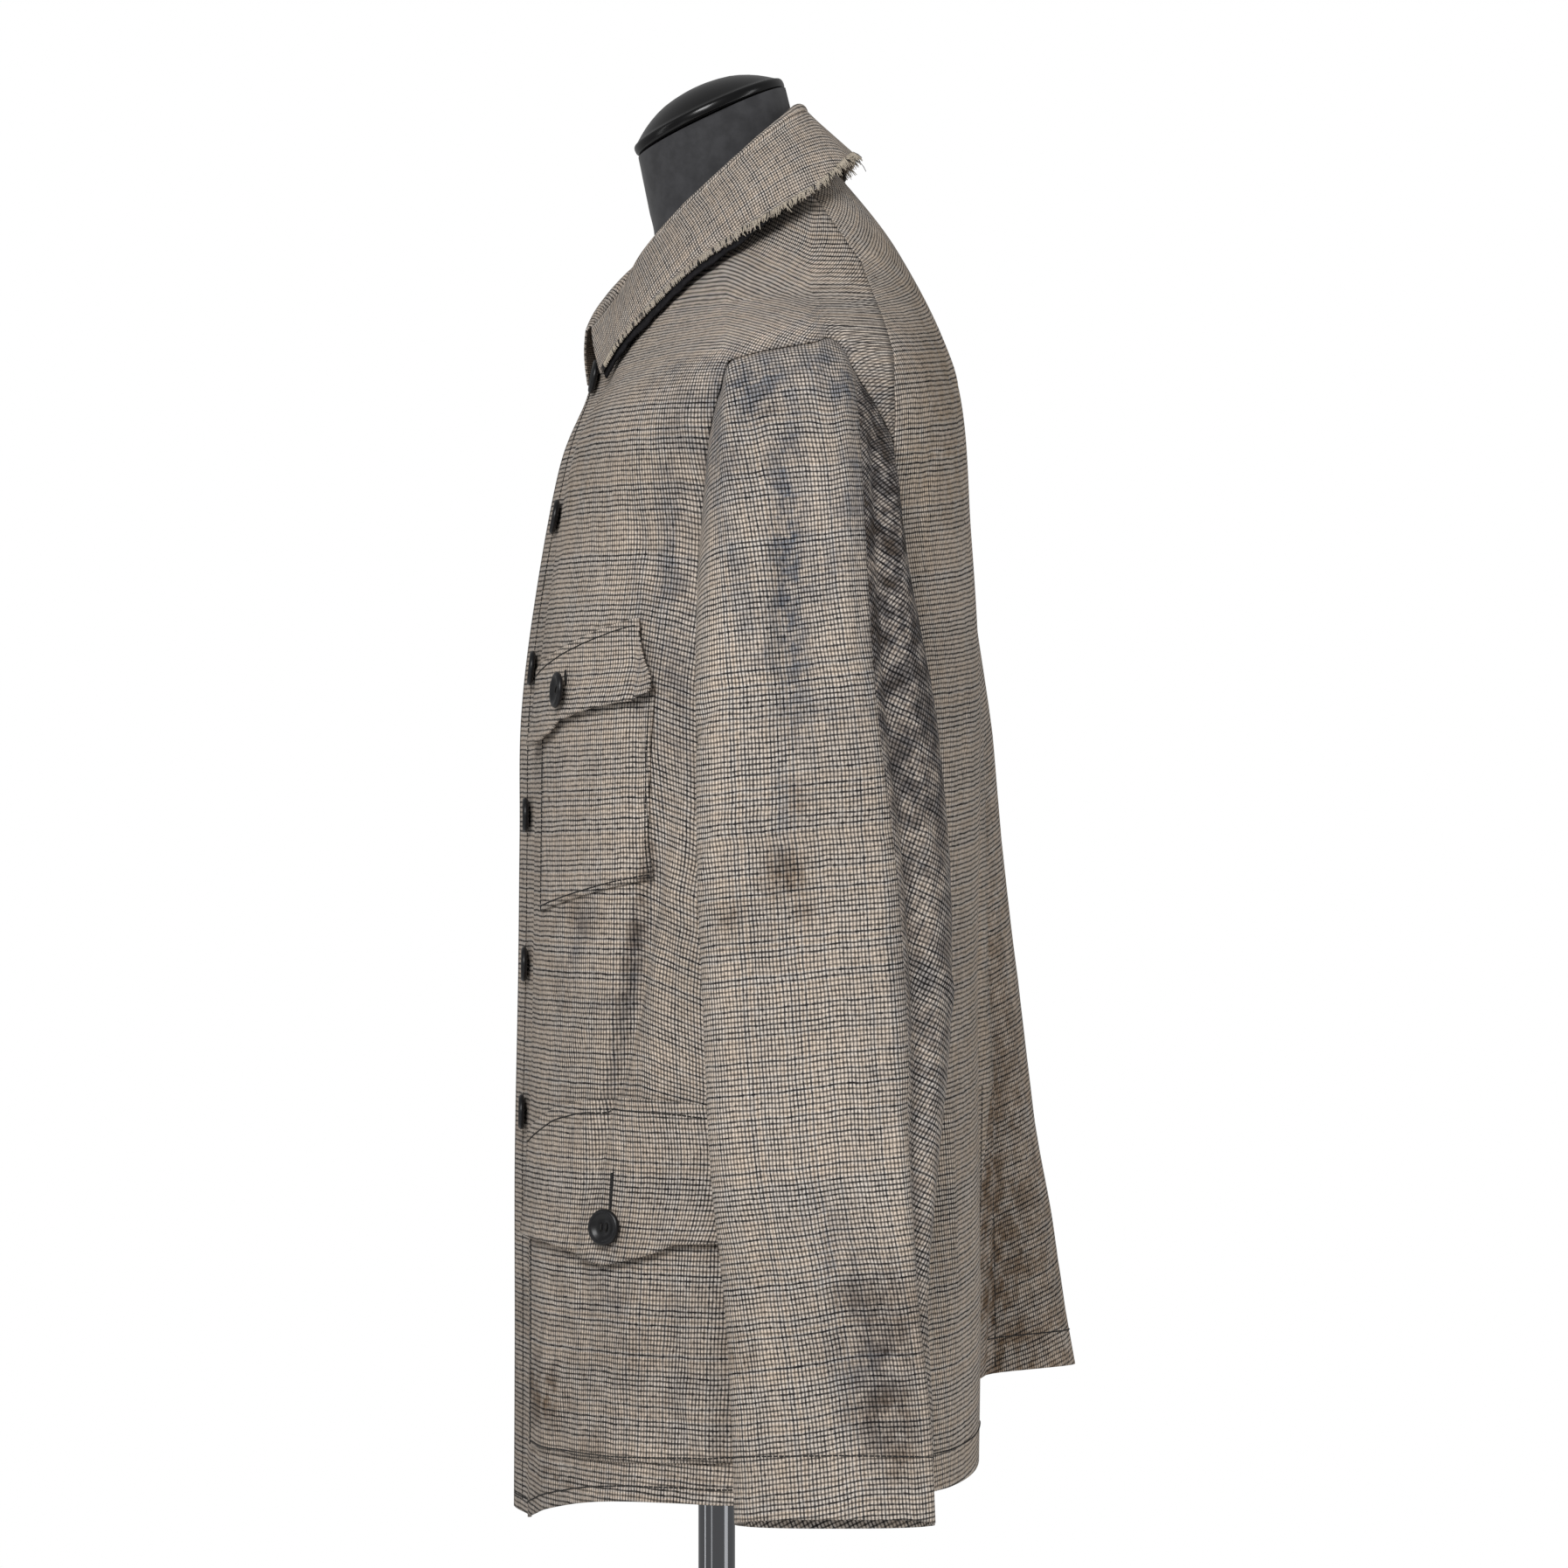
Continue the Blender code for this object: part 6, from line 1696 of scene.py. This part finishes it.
def torso_points():
    """Rings of the torso from its foot to its neck, closed at both ends."""
    row = np.linspace(0, len(FORM_ROWS) - 1, 113)
    at = {name: spline(FORM[name], row)[:, None] for name in FORM_COLUMNS}
    front, wide = squared_round(np.linspace(0, 2 * math.pi, 97), FORM_POWER)
    middle = (at["y_front"] + at["y_back"]) / 2
    y = middle - (at["y_back"] - at["y_front"]) / 2 * front[None, :]
    share = (y - at["y_front"]) / (at["y_back"] - at["y_front"])
    z = at["z_front"] + (at["z_back"] - at["z_front"]) * share
    points = np.stack((at["half_width"] * wide[None, :], y, z), axis=-1)
    ends = [np.broadcast_to(points[k].mean(axis=0), points[k].shape)[None] for k in (0, -1)]
    return np.concatenate((ends[0], points, ends[1])) + SHIFT


def make_form(made):
    """The dress form's torso, its neck cap, the pole and the base."""
    build = grid_of(torso_points())
    bmesh.ops.remove_doubles(build, verts=build.verts, dist=1e-6)
    bmesh.ops.recalc_face_normals(build, faces=build.faces)
    mesh = mesh_of(build, "dress form torso", made["charcoal jersey"], sharp=40)
    ready("jersey_torso", mesh, "form_cloth", "form_torso")
    middle = Matrix.Translation((CAP_CENTRE[0], CAP_CENTRE[1] + SHIFT[1], CAP_CENTRE[2]))
    turned("lacquered_cap", CAP_FINE, 96, middle @ Matrix.Rotation(CAP_TILT, 4, "X"),
           made["black lacquer"], "neck_cap", "form_neck_cap", 60.0)
    top = FORM_ROWS[0][0] - SEAT_GAP
    foot = BASE_FINE[0][1] + SEAT_GAP
    pole = ((0.0, top), (POLE_RADIUS, top), (POLE_RADIUS, foot), (0.0, foot))
    turned("chrome_pole", pole, 64, Matrix.Identity(4), made["polished chrome"], "pole", "stand_pole")
    turned("coated_base", BASE_FINE, 128, Matrix.Identity(4), made["satin black coating"], "base",
           "stand_base")


def length_field(name, description, default, precision=4, **limits):
    """A setting that is a length."""
    return bpy.props.FloatProperty(name=name, description=description, default=default, precision=precision,
                                   subtype="DISTANCE", unit="LENGTH", **limits)


def colour_field(name, description, code):
    """A setting that is a colour, from its sRGB hex code."""
    return bpy.props.FloatVectorProperty(name=name, description=description, size=4, subtype="COLOR",
                                         default=linear(code))


class JacketCloth(bpy.types.PropertyGroup):
    """The cloth's weave and colours."""
    thickness: length_field("Wall", "Thickness of the cloth", 0.0014, min=0.001, max=0.003)
    row_pitch: length_field("Rows", "From one crosswise line of the check to the next", 0.00295)
    column_pitch: length_field("Columns", "From one lengthwise line to the next", 0.0021)
    relief: length_field("Relief", "How far the thick picks stand out", 0.0003)
    light: colour_field("Light yarn", "Colour of the pale cells", "DDD2C4")
    dark: colour_field("Dark yarn", "Colour of the dark lines", "1F1E1F")
    # the blue-grey and the brown darken the cloth for its staining and for its painted shade
    blue_stain_and_shade: colour_field("Blue-grey stain", "What it does to the cloth", "A9B4C6")
    brown_stain_and_shade: colour_field("Brown stain", "What it does to the cloth", "9F8D7A")
    yellow_stain: colour_field("Yellowing", "What it does to the cloth", "E2CFAE")
    under_collar: colour_field("Under collar", "Colour of the felt", "1B1A1C")


class JacketTrim(bpy.types.PropertyGroup):
    """Buttons and stitches."""
    button_size: length_field("Button", "Diameter of a button", 0.0216)
    stitch_pitch: length_field("Stitch", "From one stitch to the next", 0.0034)
    thread_radius: length_field("Thread", "Radius of the sewing thread", 0.00042, precision=5)
    button: colour_field("Horn", "Colour of the buttons", "131315")
    thread: colour_field("Thread colour", "Colour of the sewing thread", "1C1A19")
    raw_thread: colour_field("Raw yarn", "Colour of the frayed ends", "B9AF9F")


class JacketStand(bpy.types.PropertyGroup):
    """The dress form's colours."""
    form: colour_field("Jersey", "Colour of the form's cloth", "39393B")
    cap: colour_field("Cap", "Colour of the neck cap", "050506")
    pole: colour_field("Pole", "Colour of the chrome", "808184")
    base: colour_field("Base", "Colour of the coating", "161617")


class JacketView(bpy.types.PropertyGroup):
    """The camera and the floor."""
    distance: length_field("Distance", "From the camera to the jacket's middle", 3.5)
    height: length_field("Height", "Height of the camera", 1.153)
    lens: bpy.props.FloatProperty(name="Lens", description="Focal length for a 36 mm sensor",
                                  default=SENSOR * FOCAL_PIXELS / PICTURE, subtype="DISTANCE_CAMERA")
    floor: colour_field("Floor", "Colour of the floor", "F4F4F3")


class OBJECT_OT_jacket_backs(bpy.types.Operator):
    """Makes the two halves of the back"""
    bl_idname = "object.jacket_backs"
    bl_label = "Backs"

    def execute(self, context):
        settings, made = context.scene.jacket_cloth, finishes(context.scene)
        for side, word in SIDES:
            panel_back(side, settings, made)
        return {"FINISHED"}


class OBJECT_OT_jacket_fronts(bpy.types.Operator):
    """Makes the two fronts"""
    bl_idname = "object.jacket_fronts"
    bl_label = "Fronts"

    def execute(self, context):
        settings, made = context.scene.jacket_cloth, finishes(context.scene)
        for side, word in SIDES:
            panel_front(side, settings, made)
        return {"FINISHED"}


class OBJECT_OT_jacket_sleeves(bpy.types.Operator):
    """Makes the top sleeves and undersleeves"""
    bl_idname = "object.jacket_sleeves"
    bl_label = "Sleeves"

    def execute(self, context):
        settings, made = context.scene.jacket_cloth, finishes(context.scene)
        for side, word in SIDES:
            for upper in (True, False):
                thing = sleeve_part(side, upper, settings, made)
        return {"FINISHED"}


class OBJECT_OT_jacket_collar(bpy.types.Operator):
    """Makes the turned-down collar and its under layer"""
    bl_idname = "object.jacket_collar"
    bl_label = "Collar"

    def execute(self, context):
        settings, made = context.scene.jacket_cloth, finishes(context.scene)
        collar_piece(settings, made)
        under_collar_piece(settings, made)
        frayed(made)
        return {"FINISHED"}


class OBJECT_OT_jacket_pockets(bpy.types.Operator):
    """Makes the patch pockets and their flaps"""
    bl_idname = "object.jacket_pockets"
    bl_label = "Pockets"

    def execute(self, context):
        settings, made = context.scene.jacket_cloth, finishes(context.scene)
        for side, word in SIDES:
            for kind in POCKET_HEIGHTS:
                thing = pocket_piece(kind, side, settings, made)
        return {"FINISHED"}


class OBJECT_OT_jacket_stitching(bpy.types.Operator):
    """Sews the seams and hems"""
    bl_idname = "object.jacket_stitching"
    bl_label = "Stitching"

    def execute(self, context):
        stitching(context.scene.jacket_trim, finishes(context.scene))
        return {"FINISHED"}


class OBJECT_OT_jacket_buttons(bpy.types.Operator):
    """Makes the ten buttons and their threads"""
    bl_idname = "object.jacket_buttons"
    bl_label = "Buttons"

    def execute(self, context):
        make_buttons(context.scene.jacket_trim, finishes(context.scene))
        return {"FINISHED"}


class OBJECT_OT_jacket_form(bpy.types.Operator):
    """Makes the dress form and its stand"""
    bl_idname = "object.jacket_form"
    bl_label = "Dress form"

    def execute(self, context):
        make_form(finishes(context.scene))
        return {"FINISHED"}


def staged(name, data):
    """A camera, lamp or floor in the scene."""
    thing = bpy.data.objects.new(name, data)
    bpy.context.scene.collection.objects.link(thing)
    return thing


def make_camera(view):
    """The camera, level, at the photograph's distance."""
    lens = bpy.data.cameras.new("Camera")
    lens.sensor_width = SENSOR
    lens.lens = view.lens
    lens.clip_end = 50.0
    camera = staged("Camera", lens)
    camera.location = (view.distance, SHIFT[1], view.height)
    camera.rotation_euler = (math.radians(90), 0.0, math.radians(90))
    return camera


def make_floor(view):
    """A plain round floor."""
    build = bmesh.new()
    bmesh.ops.create_circle(build, cap_ends=True, segments=96, radius=FLOOR_RADIUS)
    finish = plain("pale floor", view.floor, 0.85, specular=0.2)
    staged("floor", mesh_of(build, "floor", finish, smooth=False))


def make_world():
    """White behind the part, and a weaker white around it."""
    world = bpy.data.worlds.new("white studio")
    world.use_nodes = True
    tree = world.node_tree
    behind = tree.nodes["Background"]
    around = node(tree, "ShaderNodeBackground", Color=WHITE, Strength=ROOM_LIGHT)
    behind.inputs["Color"].default_value = WHITE
    behind.inputs["Strength"].default_value = 1.0
    seen = node(tree, "ShaderNodeLightPath").outputs["Is Camera Ray"]
    both = node(tree, "ShaderNodeMixShader", i0=seen, i1=around.outputs[0], i2=behind.outputs[0])
    tree.links.new(both.outputs[0], tree.nodes["World Output"].inputs["Surface"])
    return world


def make_lights():
    """A large soft key, strips for the edges and two small ones for the pole."""
    for name, spot, aim, size, power in LIGHTS:
        light = bpy.data.lights.new(name, "AREA")
        light.shape = "RECTANGLE"
        light.size, light.size_y = size
        light.energy = power
        lamp = staged(name, light)
        lamp.location = spot
        lamp.rotation_euler = (Vector(aim) - Vector(spot)).to_track_quat("-Z", "Y").to_euler()
        lamp.visible_camera = False


class OBJECT_OT_jacket_stage(bpy.types.Operator):
    """Sets the camera, the floor and the light"""
    bl_idname = "object.jacket_stage"
    bl_label = "Stage"

    def execute(self, context):
        scene = context.scene
        scene.camera = make_camera(scene.jacket_view)
        make_floor(scene.jacket_view)
        scene.world = make_world()
        make_lights()
        scene.view_settings.view_transform = "Standard"
        return {"FINISHED"}


class VIEW3D_PT_jacket(bpy.types.Panel):
    """Lists the jacket's sizes, colours and steps."""
    bl_label = "Hunting jacket"
    bl_idname = "VIEW3D_PT_jacket"
    bl_space_type = "VIEW_3D"
    bl_region_type = "UI"
    bl_category = "Jacket"

    def draw(self, context):
        layout = self.layout
        for step in STEPS:
            layout.operator("object." + step)
        for name, kind in GROUPS.items():
            settings = getattr(context.scene, name)
            box = layout.box()
            box.label(text=kind.__doc__)
            for field in settings.__annotations__:
                box.prop(settings, field)


STEPS = ("jacket_stage", "jacket_form", "jacket_backs", "jacket_fronts", "jacket_sleeves", "jacket_collar",
         "jacket_pockets", "jacket_stitching", "jacket_buttons")
GROUPS = {"jacket_cloth": JacketCloth, "jacket_trim": JacketTrim, "jacket_stand": JacketStand,
          "jacket_view": JacketView}
CLASSES = (
    *GROUPS.values(), OBJECT_OT_jacket_stage, OBJECT_OT_jacket_form, OBJECT_OT_jacket_backs,
    OBJECT_OT_jacket_fronts, OBJECT_OT_jacket_sleeves, OBJECT_OT_jacket_collar, OBJECT_OT_jacket_pockets,
    OBJECT_OT_jacket_stitching, OBJECT_OT_jacket_buttons, VIEW3D_PT_jacket,
)


def register():
    for kind in CLASSES:
        bpy.utils.register_class(kind)
    for name, kind in GROUPS.items():
        setattr(bpy.types.Scene, name, bpy.props.PointerProperty(type=kind))


def unregister():
    for name in reversed(GROUPS):
        delattr(bpy.types.Scene, name)
    for kind in reversed(CLASSES):
        bpy.utils.unregister_class(kind)


def main():
    """Builds the whole scene."""
    register()
    for step in STEPS:
        getattr(bpy.ops.object, step)()


if __name__ == "__main__":
    main()
